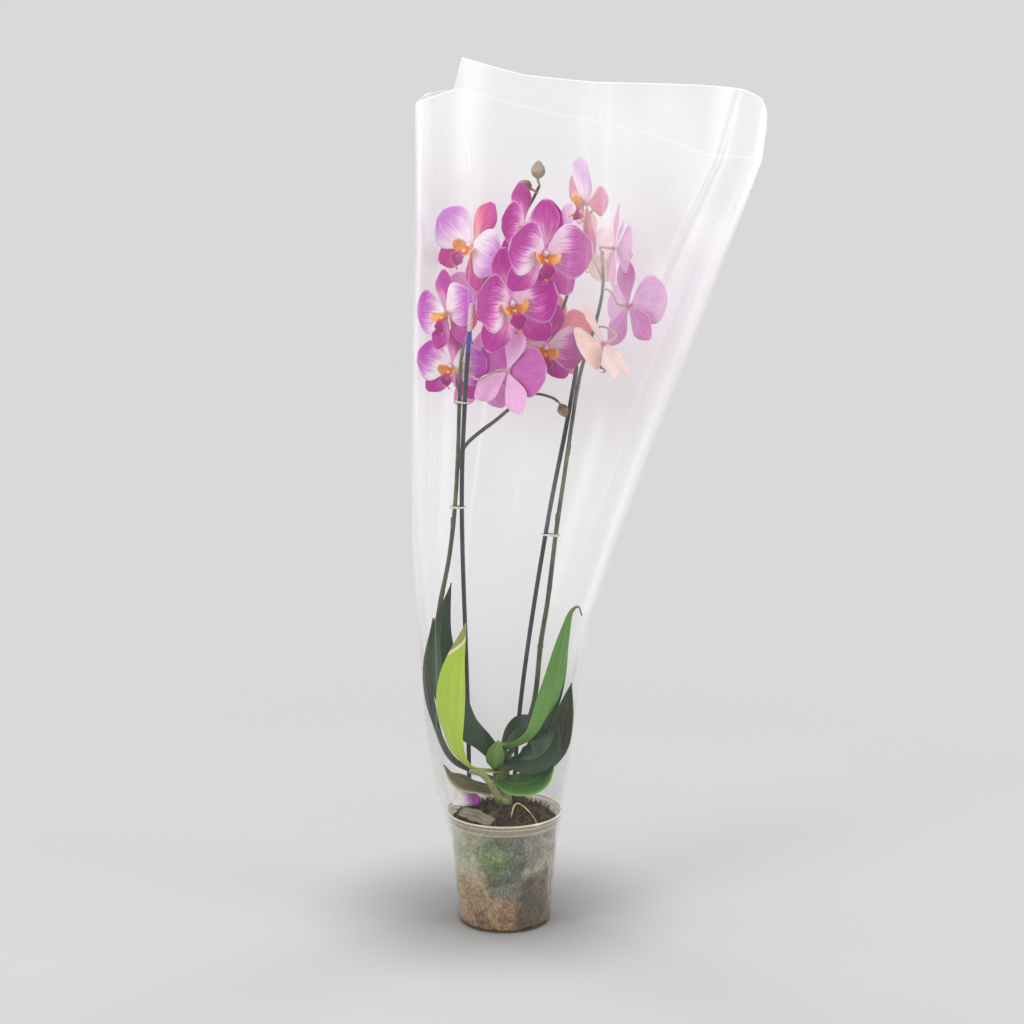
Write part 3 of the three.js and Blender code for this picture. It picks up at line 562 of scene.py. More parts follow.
# %% Turned shells
POT_HEIGHT = 118
FOOT_RADIUS, WIDENING, SHOULDER_HEIGHT = 48.5, 8, 106


def turned(outline, sides, name, finish):
    """A closed shell from an outline of [radius, height] corners round the Z axis."""
    radii, heights = rows(*outline).T
    turns = np.arange(sides) * 2 * math.pi / sides
    columns = len(radii)
    x, y = np.outer(np.cos(turns), radii), np.outer(np.sin(turns), radii)
    corners = np.stack([x, y, np.tile(heights, (sides, 1))], -1).reshape(-1, 3)
    faces = []
    for i in range(sides):
        a, b = i * columns, (i + 1) % sides * columns
        faces += [(a + k, b + k, b + (k + 1) % columns, a + (k + 1) % columns) for k in range(columns)]
    parts = Parts()
    uv = np.stack([np.repeat(turns / (2 * math.pi), columns), np.tile(heights / POT_HEIGHT, sides)], axis=1)
    parts.add(corners, outward(corners, faces), uv, np.zeros(len(corners)))
    return parts.mesh(name, [finish])


def pot_radius(z):
    return FOOT_RADIUS + WIDENING * z / SHOULDER_HEIGHT


# %% Clear plastic with damp on its inside
# Painted highlight lines, where light gathers along the lip and the foot: height and half width in
# metres, and how bright.
LIP_AND_FOOT_HIGHLIGHTS = [
    (0.1172, 0.0011, 0.5),
    (0.1126, 0.0008, 0.4),
    (0.1066, 0.0007, 0.22),
    (0.0064, 0.0006, 0.3),
    (0.0008, 0.0016, 0.5),
]


def clear_plastic():
    paint = Paint("clear_pot_plastic")
    place = paint.place()
    x, y, z = paint.axes(place)
    damp = paint.noise(place, 38, 5, 0.62)
    beads = paint.cells(place, 420).ramp(0.3, 0.08) * damp.ramp(0.45, 0.6)
    wall = z.ramp(0.022, 0.075) * (1 - z.ramp(0.1, 0.112))
    fog = (damp.ramp(0.42, 0.72) * wall * 0.12 + beads * wall * 0.3).clamped()
    scuffs = paint.noise(paint.vector(x * 30, y * 30, z * 400), 1.0, 2).ramp(0.6, 0.75) * 0.05
    lip = z.ramp(0.1045, 0.1065) * 0.14
    # Painted highlights: milky lines along the lip and the foot.
    for height, half, share in LIP_AND_FOOT_HIGHLIGHTS:
        lip = lip + (z - height).absolute().ramp(half, half * 0.3) * share
    pale = paint.mix(z.ramp(0.1, 0.106), (226, 226, 212), (244, 230, 200))
    milk = paint.surface(base_color=paint.mix(z.ramp(0.012, 0.004), pale, (150, 122, 92)), roughness=0.35)
    gloss = paint.node("BsdfGlossy", {}, {"Color": (1, 1, 1, 1), "Roughness": 0.06})
    through = paint.node("BsdfTransparent", {}, {"Color": (0.955, 0.965, 0.955, 1)})
    body = paint.blend((fog + scuffs + lip + 0.03).clamped(), through, milk)
    return paint.done(paint.blend((paint.facing() ** 4 * 0.6 + 0.045).clamped(), body, gloss))


# The wall's outline as [radius, height], up its outside and down its inside.
POT_OUTLINE = [
    *([0, 0.9], [40, 0.9], [41, 0.0], [46.8, 0.0], [47.9, 0.35], [48.5, 1.4]),
    *([pot_radius(z), z] for z in (30, 60, 104.5)),
    *([57.6, 106.2], [58.3, 107.2], [58.5, 109.5], [58.1, 111.2], [58.6, 112.4], [59.6, 113.0]),
    *([60.0, 114.5], [59.9, 116.6], [59.4, 117.7], [58.9, 117.9], [58.5, 117.5], [58.2, 114.5]),
    *([57.0, 112.2], [57.1, 109.0], [56.2, 106.6], [pot_radius(104) - 1.2, 104]),
    *([pot_radius(z) - 1.1, z] for z in (60, 30)),
    *([47.5, 2.8], [46.4, 1.6], [0, 1.6]),
]

# %% [markdown]
# The drain holes repeat round a ring, so a node tree drills them: it sets a drill on each corner of a
# circle and takes them all from the shell in one exact cut.

# %% The drain holes
def drill_tree():
    inputs = {"Holes": "Int", "Ring": "Float", "Radius": "Float", "Finish": "Material"}
    given, add, finish = new_tree("drilled_ring", **inputs)
    ring = add("MeshCircle", Vertices=given.outputs["Holes"], Radius=given.outputs["Ring"])
    drill = add("MeshCylinder", Vertices=20, Radius=given.outputs["Radius"], Depth=0.008)
    drills = add("InstanceOnPoints", Points=ring.outputs[0], Instance=drill.outputs["Mesh"])
    whole = add("RealizeInstances", Geometry=drills.outputs[0])
    shell = given.outputs["Geometry"]
    left = add("MeshBoolean", {"operation": "DIFFERENCE"}, Mesh_1=shell, Mesh_2=whole.outputs[0])
    return finish(left.outputs[0])


CLOSE = 2e-6


def merged(mesh):
    """The mesh with its doubled corners joined, as at the poles of a turned shape."""
    work = bmesh.new()
    work.from_mesh(mesh)
    bmesh.ops.remove_doubles(work, verts=work.verts, dist=CLOSE)
    bmesh.ops.dissolve_degenerate(work, edges=work.edges, dist=CLOSE)
    bmesh.ops.recalc_face_normals(work, faces=work.faces)
    work.to_mesh(mesh)
    work.free()
    return mesh


pot_finish = clear_plastic()
shell = merged(turned(POT_OUTLINE, 144, "nursery_pot", pot_finish))
holes = {"Holes": 8, "Ring": 0.034, "Radius": 0.003}
drilled = grown(shell, drill_tree(), {**holes, "Finish": pot_finish})
drilled.shade_smooth()
drilled.set_sharp_from_angle(angle=math.radians(38))
stand(drilled, "pot", "pot")
print("pot:", len(drilled.polygons), "faces")

# %% [markdown]
# # The bark
# Orchid bark is coarse chips of pine bark with air between them. Through the clear wall one sees
# their flat sides pressed against it, dark gaps, green algae where light and damp meet, and drier
# red-brown chips lower down. Thousands of loose chips would be heavy, so the wall of the heap is one
# skin: random cells are the chips, each set back by its own amount, with a deep gap between cells.
# Real loose chips, crumbs and moss are then scattered over the top, where they show.

# %% Cells for chips
rng = np.random.default_rng(21)


def chip_cells(places, seeds, wrap=None):
    """For each place: the nearest seed's number, and how far the place is from that chip's edge."""
    gaps = places[:, None, :] - seeds[None]
    if wrap:
        gaps[..., 0] = (gaps[..., 0] + wrap / 2) % wrap - wrap / 2
    far = np.linalg.norm(gaps, axis=-1)
    order = np.argsort(far, axis=1)[:, :2]
    near = np.take_along_axis(far, order, axis=1)
    return order[:, 0], near[:, 1] - near[:, 0]


def shifted(places, girth):
    """The places moved by a few waves that close round the pot, which gives chips uneven edges."""
    moved = places.copy()
    for _ in range(8):
        wave = np.array([2 * math.pi * rng.integers(-16, 17) / girth, rng.uniform(-0.3, 0.3)])
        moved += np.sin(places @ wave + rng.uniform(0, 6))[:, None] * rng.uniform(-1.3, 1.3, 2)
    return moved


def smooth_step(low, high, x):
    t = np.clip((x - low) / (high - low), 0, 1)
    return t * t * (3 - 2 * t)


# %% The heap's skin
AROUND, UP_WALL, OVER_TOP = 260, 84, 34
BARK_FLOOR, BARK_EDGE, BARK_CROWN = 2.1, 107.0, 118.5
WALL_CHIPS, TOP_CHIPS = 260, 150
MIDDLE_RADIUS = 54
GIRTH = 2 * math.pi * MIDDLE_RADIUS
STRETCH = [1, 1.35]


def heap_wall(turns):
    """The heap's skin behind the pot's wall, and for each corner its chip and how far it is from its edge."""
    tt, zz = np.meshgrid(turns, np.linspace(BARK_FLOOR, BARK_EDGE, UP_WALL), indexing="xy")
    seeds = np.stack([rng.uniform(0, GIRTH, WALL_CHIPS), rng.uniform(-5, 115, WALL_CHIPS)], axis=1)
    flat = shifted(np.stack([tt.ravel() * MIDDLE_RADIUS, zz.ravel()], axis=1), GIRTH) * STRETCH
    own, edge = chip_cells(flat, seeds * STRETCH, GIRTH)
    back = rng.uniform(0, 1.9, WALL_CHIPS)[own] + 1.2 * (1 - smooth_step(0, 1.8, edge))
    back = np.minimum(back.reshape(zz.shape), 3.0)
    back[-1] = 0.4
    radius = pot_radius(zz) - 1.5 - back
    wall = np.stack([radius * np.cos(tt), radius * np.sin(tt), zz], axis=-1).reshape(-1, 3)
    return wall, own, edge


def heap_top(turns):
    """The same for the heap's domed top."""
    radii = np.linspace(1, 0.02, OVER_TOP)[1:] * (pot_radius(BARK_EDGE) - 1.9)
    tt, rr = np.meshgrid(turns, radii, indexing="xy")
    x, y = rr * np.cos(tt), rr * np.sin(tt)
    places = np.stack([x.ravel(), y.ravel()], axis=1)
    spots = rng.uniform(-56, 56, (TOP_CHIPS, 2))
    own, edge = chip_cells(places, spots)
    tilt = rng.uniform(-0.22, 0.22, (TOP_CHIPS, 2))[own]
    lean = np.sum((places - spots[own]) * tilt, axis=1)
    dome = BARK_EDGE + (BARK_CROWN - BARK_EDGE) * (1 - (rr / MIDDLE_RADIUS) ** 2)
    rise = rng.uniform(-1.5, 2.2, TOP_CHIPS)[own] + lean - 3.2 * (1 - smooth_step(0, 2.4, edge))
    z = dome + rise.reshape(rr.shape) * smooth_step(54.5, 50, rr)
    return np.stack([x, y, z], axis=-1).reshape(-1, 3), own, edge


def bark_heap(finish):
    turns = np.arange(AROUND) * 2 * math.pi / AROUND
    wall, wall_chip, wall_edge = heap_wall(turns)
    top, top_chip, top_edge = heap_top(turns)
    corners = np.vstack([wall, top])
    rings = UP_WALL + OVER_TOP - 1
    faces = grid_faces(rings, AROUND, closed=True)
    faces.append(tuple(range(AROUND))[::-1])
    faces.append(tuple(range(len(corners) - AROUND, len(corners))))
    parts = Parts()
    uv = np.stack([np.tile(turns, rings), corners[:, 2]], axis=1)
    parts.add(corners, outward(corners, faces), uv, np.zeros(len(corners)))
    mesh = parts.mesh("bark_heap", [finish])
    tint = np.concatenate([rng.uniform(0, 1, WALL_CHIPS)[wall_chip], rng.uniform(0, 1, TOP_CHIPS)[top_chip]])
    face = np.concatenate([smooth_step(0, 2.2, wall_edge), smooth_step(0, 2.2, top_edge)])
    for name, values in (("chip_tint", tint), ("chip_face", face)):
        mesh.attributes.new(name, "FLOAT", "POINT").data.foreach_set("value", values)
    return mesh


# %% [markdown]
# The bark's colour comes from three things: a random tint for each chip, painted shade in the gaps
# between chips, and the zone. Seen from the front, chips pale with algae fill the upper half. A dark
# wet wedge stands in their middle with a tuft of moss on it, and a grey patch lies at their right.
# Below, the bark is dry and red-brown at the left and a richer brown at the right.

# %% Bark colours
# The tones of each kind of bark, from its cracks to its lit faces.
BARK_TONES = {
    "dry": [(0.3, (84, 52, 34)), (0.46, (158, 112, 80)), (0.62, (206, 170, 132))],
    "rich": [(0.3, (22, 14, 8)), (0.48, (74, 50, 26)), (0.66, (138, 108, 46))],
    "algae": [(0.3, (104, 102, 66)), (0.46, (168, 162, 124)), (0.62, (214, 208, 176))],
    "dark": [(0.3, (18, 24, 12)), (0.48, (46, 54, 34)), (0.66, (124, 126, 106))],
    "grey": [(0.3, (84, 74, 68)), (0.5, (134, 122, 116)), (0.68, (172, 162, 154))],
    "moss": [(0.3, (28, 52, 4)), (0.47, (74, 108, 16)), (0.64, (146, 166, 70))],
}


def bark_grain(paint):
    """Where a point is, the bark's fine grain there, and its slower blotches."""
    place = paint.place()
    x, y, z = paint.axes(place)
    grain = paint.noise(paint.vector(x * 480, y * 480, z * 240), 1.0, 5, 0.7)
    return place, x, y, z, grain, paint.noise(place, 55, 4, 0.6)


def loose_bark_paint():
    paint = Paint("loose_bark")
    place, _, _, z, grain, blotch = bark_grain(paint)
    tint = paint.noise(place, 90, 2) * 0.7 + grain * 0.3
    brown = paint.colours(tint, (0.3, (38, 26, 20)), (0.55, (84, 60, 44)), (0.75, (128, 104, 82)))
    mossy = paint.colours(grain, (0.3, (48, 52, 26)), (0.7, (118, 118, 66)))
    top = paint.mix(blotch.ramp(0.56, 0.66), brown, mossy)
    # Painted shade: the loose bark darkens lower down on the heap.
    shade = (z.ramp(0.104, 0.122) * 0.6 + 0.55).clamped()
    colour = paint.mix(shade, (16, 11, 9), top)
    bump = paint.bump(grain, 0.6, 0.0012)
    return paint.done(paint.surface(base_color=colour, roughness=0.9, normal=bump))


def wall_bark_paint():
    paint = Paint("bark_behind_plastic")
    place, x, y, z, grain, blotch = bark_grain(paint)
    tint, face = paint.value("chip_tint"), paint.value("chip_face")
    speck = paint.noise(place, 420, 3, 0.7)
    mottle = (tint - 0.5) * 0.18 + (grain - 0.5) * 0.9 + (speck - 0.5) * 0.6 + 0.5
    dry, rich, algae, dark, grey, moss = (paint.colours(mottle, *stops) for stops in BARK_TONES.values())
    front = (0 - y).ramp(-0.015, 0.015)
    slow = paint.noise(place, 22, 3, 0.55)
    sway = (slow - 0.5) * 0.035
    level = z + sway
    low = level.ramp(0.066, 0.054)
    aside = (x + sway).ramp(0.008, 0.02)
    wedge = ((x - 0.002).absolute() - z * 0.15 - 0.008 + sway).ramp(0.004, -0.004) * level.ramp(0.034, 0.046)
    panel = (x + sway * 0.5).ramp(0.019, 0.024) * level.ramp(0.058, 0.07)
    tuft = ((x + 0.01) / 0.021) ** 2 + ((z - 0.082) / 0.02) ** 2
    colour = paint.mix(low, algae, paint.mix(aside, dry, rich))
    colour = paint.mix(front * wedge * 0.9, colour, dark)
    colour = paint.mix(front * panel * 0.85, colour, grey)
    spots = (slow * 0.5 + blotch * 0.5).ramp(0.5, 0.6) * level.ramp(0.05, 0.07) * (1 - front)
    mossy = front * (1 - tuft).ramp(-0.4, 0.5) * blotch.ramp(0.36, 0.5) + spots
    colour = paint.mix(mossy.clamped() * 0.95, colour, moss)
    # Painted shade: the gaps between chips are darkened.
    painted_gap_shade = 1 - face.ramp(0.0, 0.6)
    colour = paint.mix(painted_gap_shade * speck.ramp(0.3, 0.6, 0.5, 0.1), colour, (40, 34, 24))
    bump = paint.bump(grain * 0.6 + speck * 0.4, 0.7, 0.0012)
    return paint.done(paint.surface(base_color=colour, roughness=0.85, normal=bump))


loose_finish = loose_bark_paint()
heap = bark_heap(wall_bark_paint())
heap.materials.append(loose_finish)
over_top = [face.center.z > 0.1065 for face in heap.polygons]
heap.polygons.foreach_set("material_index", [int(flag) for flag in over_top])
stand(heap, "bark", "bark_medium")
print("bark heap:", len(heap.polygons), "faces")

# %% [markdown]
# ## Loose chips, crumbs and moss
# Each kind is one small rough shape. The scatter tree sets copies of it on the top of the heap,
# turned and sized at random from a fixed seed.

# %% Rough little shapes
def rough_block(name, proportions, cuts, rough, seed):
    """A block with uneven faces, one unit long."""
    work = bmesh.new()
    bmesh.ops.create_cube(work, size=1)
    bmesh.ops.subdivide_edges(work, edges=work.edges, cuts=cuts, use_grid_fill=True)
    draw = np.random.default_rng(seed)
    for corner in work.verts:
        pinch = 1 - 0.35 * abs(corner.co.x) * draw.uniform(0.4, 1.6)
        corner.co.y *= pinch
        corner.co.z *= pinch
        corner.co += mathutils.Vector(draw.uniform(-rough, rough, 3))
        corner.co = mathutils.Vector(np.array(corner.co) * proportions)
    bmesh.ops.recalc_face_normals(work, faces=work.faces)
    mesh = bpy.data.meshes.new(name)
    work.to_mesh(mesh)
    work.free()
    return mesh


def moss_thread(name):
    """A thin bent blade, one unit long, closed, with a three-sided section."""
    places = [[0, 0, 0], [0.1, 0, 0.4], [0.32, 0.05, 0.8], [0.5, 0.08, 1.0]]
    corners, faces, _, _ = tube(places, [0.07, 0.06, 0.015], 3, 4)
    mesh = bpy.data.meshes.new(name)
    mesh.from_pydata(corners.tolist(), [], faces)
    return mesh


HEAP_TOP = 0.107


def top_of(mesh, keep):
    """A copy of a mesh with only its faces on the heap's top, where keep(x, y) holds."""
    copy = mesh.copy()
    work = bmesh.new()
    work.from_mesh(copy)
    middles = [(face, face.calc_center_median()) for face in work.faces]
    gone = [face for face, middle in middles if middle.z < HEAP_TOP or not keep(middle.x, middle.y)]
    bmesh.ops.delete(work, geom=gone, context="FACES")
    work.to_mesh(copy)
    work.free()
    return copy


# %% Moss and fibres
def thread_paint(name, scale, roughness, *stops):
    paint = Paint(name)
    colour = paint.colours(paint.noise(paint.place(), scale), *stops)
    return paint.done(paint.surface(base_color=colour, roughness=roughness))


moss_finish = thread_paint(
    "moss", 300, 0.8, (0.3, (52, 66, 22)), (0.5, (98, 116, 44)), (0.7, (168, 176, 92))
)
fibre_finish = thread_paint(
    "dead_fibre", 220, 0.85, (0.3, (46, 32, 22)), (0.55, (104, 78, 54)), (0.75, (176, 152, 116))
)

# %% Scatter them over the top of the heap
whole_top = top_of(heap, lambda x, y: math.hypot(x, y) < 0.05)
mossy_top = top_of(heap, lambda x, y: math.hypot(x, y) < 0.051 and (x > 0.012 or y > 0.02))
chip = rough_block("bark_chip", (1, 0.62, 0.3), 2, 0.07, 5)
crumb = rough_block("crumb", (1, 0.8, 0.6), 1, 0.12, 6)
thread = moss_thread("moss_thread")
for name, ground, shape, density, seed, small, large, finish in [
    ("bark_chips", whole_top, chip, 5200, 3, 0.009, 0.02, loose_finish),
    ("bark_crumbs", whole_top, crumb, 90000, 8, 0.0012, 0.0036, loose_finish),
    ("fibres", whole_top, thread, 110000, 5, 0.004, 0.009, fibre_finish),
    ("moss_tufts", mossy_top, thread, 160000, 9, 0.002, 0.0045, moss_finish),
]:
    bits = scattered(name, ground, shape, density, seed, small, large, finish)
    stand(bits, "bark")
    highest = max(corner.co.z for corner in bits.vertices)
    print(name, len(bits.polygons), "faces, up to", round(highest / MM), "mm")

# %% [markdown]
# One long chip of outer bark lies grey and dry against the front of the lip. It is a thick sheet with
# ragged edges, and its grain runs along it.

# %% The grey chip
def weathered_paint():
    paint = Paint("weathered_bark")
    along, across = paint.along_across()
    grain = paint.noise(paint.vector(along * 3, across * 26, 0.0), 1.0, 4, 0.65)
    colour = paint.colours(grain, (0.3, (84, 74, 62)), (0.5, (138, 128, 112)), (0.7, (176, 168, 150)))
    bump = paint.bump(grain, 0.8, 0.0012)
    return paint.done(paint.surface(base_color=colour, roughness=0.9, normal=bump))


def ragged_width(u):
    return 15 * np.sin(math.pi * (0.2 + 0.66 * u)) ** 0.5 * (1 + 0.1 * np.sin(17 * u) + 0.06 * np.sin(41 * u))


grey_chip = Parts()
grey_chip.add(
    *sheet(
        [[-44, -25, 123], [-34, -31, 122], [-24, -36, 119.5], [-12, -42, 116.5]],
        [[-0.1, -0.5, 0.85], [0.1, -0.5, 0.85]],
        ragged_width,
        lambda u, s: 0.5 * np.sin(9 * s + 2 * u) + 0.4 * np.sin(13 * u) * s,
        *(4, 2.4, 40, 16),
    )
)
stand(grey_chip.mesh("grey_chip", [weathered_paint()]), "bark")

# %% [markdown]
# # Stems, stakes and ties
# A flower spike is a wiry stem with a joint every few centimetres. At each joint a dry papery bract
# clasps it. Short stalks leave the spike for each bloom. The stakes are dyed split bamboo, and thin
# rings of wire hold spike and stake together. All are rods along the frame's own routes, so the rod
# tree makes them from lists of points and radii.

# %% Routes of the spikes and stakes
SPIKE_LEFT = rows(
    *([-2, 4, 160], [-22, 24, 172], [-46, 35, 190], [-66, 38, 222], [-71, 34, 262], [-69, 24, 312]),
    *([-56, 12, 383], [-50, 6, 435], [-46.5, -1, 490], [-44.5, -10, 545], [-42, -12, 590]),
    *([-34, 4, 628], [-14, 26, 670], [13, 20, 716], [30, 8, 745], [35, 2, 756]),
)
SIDE_BRANCH = rows(
    *([-48, 2, 470], [-40, 2, 496], [-4, 8, 526], [22, 8, 550], [40, 18, 585], [58, 28, 630]),
    *([70, 26, 672], [72, 18, 705]),
)
BUD_TWIG = rows([21, 8, 549], [36, 4, 549], [50, 0, 545], [54, -2, 542])
SPIKE_RIGHT = rows(
    *([-3, 2, 158], [12, 12, 186], [28, 22, 214], [38, 21, 292], [44.5, 13, 336], [52.5, 6, 408]),
    *([60, 4, 462], [68, 2, 520], [77, 8, 572], [90, 22, 612], [99, 30, 652], [98, 28, 690]),
)
STAKE_LEFT = rows([-36, 18, 30], [-37.8, 17, 211], [-43, 4, 441], [-38, -28, 557], [-31, -62, 644])
STAKE_RIGHT = rows([6, 21, 30], [15.1, 20, 210], [44.4, 10, 420], [62, 4, 515], [72.8, 0, 578])


# %% Joints along a spike
def jointed(places, radius, joints, taper, steps):
    """Points and radii of a spike that swells at its joints and wavers a little between them."""
    u = np.linspace(0, 1, steps + 1)
    from_joint = np.abs(u * joints - np.round(u * joints)) / joints * steps
    radii = radius * (1 + (taper - 1) * u) * (1 + 0.06 * np.exp(-((from_joint / 2.6) ** 2)))
    return spline(places, steps), radii


def at_height(points, z):
    """The point where a rising run of points passes a height."""
    return np.array([np.interp(z, points[:, 2], points[:, k]) for k in range(3)])


# %% Finishes for the spikes
def stem_paint(name, dark, middle, light, rough=0.42):
    """Green skin clouded with brown, with fine length-wise streaks."""
    paint = Paint(name)
    place = paint.place()
    x, y, z = paint.axes(place)
    cloud = paint.noise(place, 26, 4, 0.6)
    streak = paint.noise(paint.vector(x * 900, y * 900, z * 60), 1.0, 3)
    colour = paint.colours(cloud * 0.6 + streak * 0.4, (0.3, dark), (0.5, middle), (0.68, light))
    bump = paint.bump(streak, 0.35, 0.0004)
    return paint.done(paint.surface(base_color=colour, roughness=rough, normal=bump, coat_weight=0.15))


spike_finish = stem_paint("spike_skin", (38, 40, 30), (76, 82, 58), (124, 126, 94))
stalk_finish = stem_paint("flower_stalk", (140, 116, 92), (190, 168, 138), (222, 200, 182), 0.5)
bract_finish = stem_paint("dry_bract", (52, 50, 36), (88, 86, 62), (124, 118, 90), 0.7)


# %% Bracts
def bract(parts, points, radii, k, turn, length):
    """A dry pointed scale that clasps the stem at point k and leans away from it."""
    ahead = unit(points[k + 1] - points[k - 1])
    aside = unit(np.cross(ahead, rows([math.cos(turn), math.sin(turn), 0.1])))[0]
    out = np.cross(aside, ahead)
    r = radii[k]
    base = points[k] - ahead * length * 0.3
    leaning = (0, 0.2), (0.55, 0.4), (1, 0.8)
    midrib = [base + ahead * length * rise + out * (r + off) for rise, off in leaning]
    parts.add(
        *sheet(
            midrib,
            [out, out],
            lambda u: 2.4 * r * np.sqrt(np.maximum(1 - u**1.3, 0.01)),
            lambda u, s: -1.2 * r * s * s * (1 - 0.4 * u),
            *(0.35, 0.2, 8, 6),
        )
    )


def bracts(name, runs, slot):
    parts = Parts()
    for (points, radii), joints in runs:
        steps = len(points) - 1
        for j in range(1, joints):
            bract(parts, points, radii, round(j * steps / joints), 2.4 * j, 11 if j % 2 else 8)
    stand(parts.mesh(name, [bract_finish]), slot)


# %% [markdown]
# ## Where the blooms stand
# Each bloom has a place, a direction it looks in (a turn about the Z axis from the front, then a
# tilt up), a roll, a size, and the point of its spike that its stalk leaves. A 4 by 4 matrix made
# from these carries the bloom's own axes (X across, Y up, Z out of its face) into the scene.

# %% The blooms' places
BLOOMS = [
    dict(at=(7, -38, 644), turn=12, tilt=0, roll=12, lean=38, size=1.03, spike="left", u=0.8),
    dict(
        at=(39, -64, 694), turn=13, tilt=-6, roll=-2, lean=30, size=0.96, spike="branch", u=0.97,
        via=(52, -16, 672),
    ),
    dict(at=(20, -14, 718), turn=35, tilt=0, roll=4, lean=20, size=0.8, spike="left", u=0.93),
    dict(at=(-32, 35, 697), turn=-35, tilt=0, roll=-28, lean=12, size=0.93, spike="left", u=0.86),
    dict(at=(-56, -24, 634), turn=-42, tilt=0, roll=12, lean=2, size=0.8, spike="left", u=0.78),
    dict(
        at=(-52, 10, 578), turn=-22, tilt=-5, roll=-6, lean=2, size=0.78, spike="left", u=0.6,
        via=(-44, 22, 540),
    ),
    dict(at=(-24, 66, 640), turn=-165, tilt=0, roll=0, lean=10, size=0.85, spike="left", u=0.8),
    dict(at=(-22, 44, 566), turn=160, tilt=-12, roll=0, lean=10, size=0.82, spike="left", u=0.75),
    dict(
        at=(4, -24, 575), turn=142, tilt=-10, roll=11, lean=4, size=0.9, spike="left", u=0.7,
        via=(-28, -14, 566),
    ),
    dict(at=(41, 6, 598), turn=12, tilt=-18, roll=-8, lean=10, size=0.86, spike="branch", u=0.72),
    dict(at=(50, 62, 602), turn=160, tilt=-5, roll=0, lean=10, size=0.86, spike="branch", u=0.75),
    dict(at=(80, -8, 738), turn=-68, tilt=0, roll=60, lean=12, size=0.98, spike="branch", u=1),
    dict(at=(110, 4, 694), turn=96, tilt=-5, roll=5, lean=12, size=0.86, spike="right", u=0.97),
    dict(at=(126, 34, 636), turn=130, tilt=-5, roll=-10, lean=14, size=0.92, spike="right", u=0.93),
    dict(at=(98, -26, 602), turn=-110, tilt=-30, roll=0, lean=16, size=0.86, spike="right", u=0.86),
    dict(at=(82, 66, 690), turn=175, tilt=-5, roll=0, lean=10, size=0.8, spike="right", u=0.95),
]


def bloom_matrix(at, turn, tilt, roll, **_):
    turn, tilt, roll = (math.radians(v) for v in (turn, tilt, roll))
    out = np.array([math.sin(turn) * math.cos(tilt), -math.cos(turn) * math.cos(tilt), math.sin(tilt)])
    across = unit(np.cross([0, 0, 1], out))
    up = np.cross(out, across)
    matrix = np.eye(4)
    matrix[:3, 0] = across * math.cos(roll) + up * math.sin(roll)
    matrix[:3, 1] = up * math.cos(roll) - across * math.sin(roll)
    matrix[:3, 2] = out
    matrix[:3, 3] = at
    return matrix


def carried(matrix, *place):
    return matrix[:3, :3] @ np.array(place) + matrix[:3, 3]


# %% Spikes and flower stalks
left = jointed(SPIKE_LEFT, 2.9, 9, 0.5, 170)
branch = jointed(SIDE_BRANCH, 2.0, 5, 0.75, 80)
twig = (spline(BUD_TWIG, 16), np.full(17, 1.4))
right = jointed(SPIKE_RIGHT, 2.9, 8, 0.55, 150)
SPIKES = {"left": left[0], "branch": branch[0], "right": right[0]}


def stalk(bloom):
    """The points of a bloom's stalk, from its spike to just behind its middle."""
    matrix = bloom_matrix(**bloom)
    points = SPIKES[bloom["spike"]]
    start = points[round(bloom["u"] * (len(points) - 1))]
    behind, end = carried(matrix, 0, 0, -15), carried(matrix, 0, 0, -3.5)
    middle = bloom.get("via", (start + behind) / 2 + [0, 0, 5])
    radii = np.interp(np.arange(15), [0, 1.5, 12, 14], [1.7, 1.1, 1.15, 1.9])
    return spline([start, middle, behind, end], 14), radii


def bud_stalk(*places):
    return spline(places, 8), np.full(9, 1.3)


left_stalks = [stalk(b) for b in BLOOMS if b["spike"] != "right"] + [
    bud_stalk([35, 2, 755], [33.8, -0.5, 759], [33, -2.8, 761.5]),
    bud_stalk([33, 5, 748], [30, 2.5, 750.5], [27.3, 0.1, 751.9]),
    bud_stalk([53, -1, 543], [54.5, -2.2, 541.8], [55.8, -3.4, 540.2]),
]
right_stalks = [stalk(b) for b in BLOOMS if b["spike"] == "right"]
stand(rods("spike_left", [left, branch, twig], 14, spike_finish), "stem", "spike_left")
stand(rods("spike_right", [right], 14, spike_finish), "stem", "spike_right")
stand(rods("stalks_left", left_stalks, 10, stalk_finish), "stem")
stand(rods("stalks_right", right_stalks, 10, stalk_finish), "stem")
bracts("bracts_left", [(left, 9), (branch, 5)], "stem")
bracts("bracts_right", [(right, 8)], "stem")
print("stalks:", len(left_stalks) + len(right_stalks))

# %% [markdown]
# The left stake is charcoal. A blue band and a pale top on it are painted reflections. Height decides
# the colour, so the finish reads the Z axis. Bamboo has faint long fibres, which a stretched noise gives.


# %% Stakes
def stake_paint(name, reflection_heights=None):
    paint = Paint(name)
    place = paint.place()
    x, y, z = paint.axes(place)
    fibre = paint.noise(paint.vector(x * 1100, y * 1100, z * 25), 1.0, 3)
    cloud = paint.noise(place, 30, 3)
    shade = fibre * 0.5 + cloud * 0.5
    colour = paint.colours(shade, (0.3, (26, 30, 34)), (0.55, (56, 60, 64)), (0.75, (92, 94, 94)))
    # Painted reflections: a blue band and, above it, a pale highlight, set by height.
    if reflection_heights:
        low, high = reflection_heights
        blue_reflection = paint.mix(fibre.ramp(0.3, 0.7), (46, 44, 132), (82, 84, 176))
        pale = paint.mix(fibre.ramp(0.3, 0.7), (206, 176, 170), (240, 228, 222))
        edge = (fibre - 0.5) * 0.0016
        colour = paint.mix((z + edge).ramp(low - 0.0015, low + 0.0015), colour, blue_reflection)
        colour = paint.mix((z + edge).ramp(high - 0.001, high + 0.001), colour, pale)
    bump = paint.bump(fibre, 0.4, 0.0004)
    return paint.done(paint.surface(base_color=colour, roughness=0.45, normal=bump))


def stake_rod(places, steps=120):
    radii = np.full(steps + 1, 2.25)
    radii[-1], radii[-2] = 1.5, 2.1
    return spline(places, steps), radii


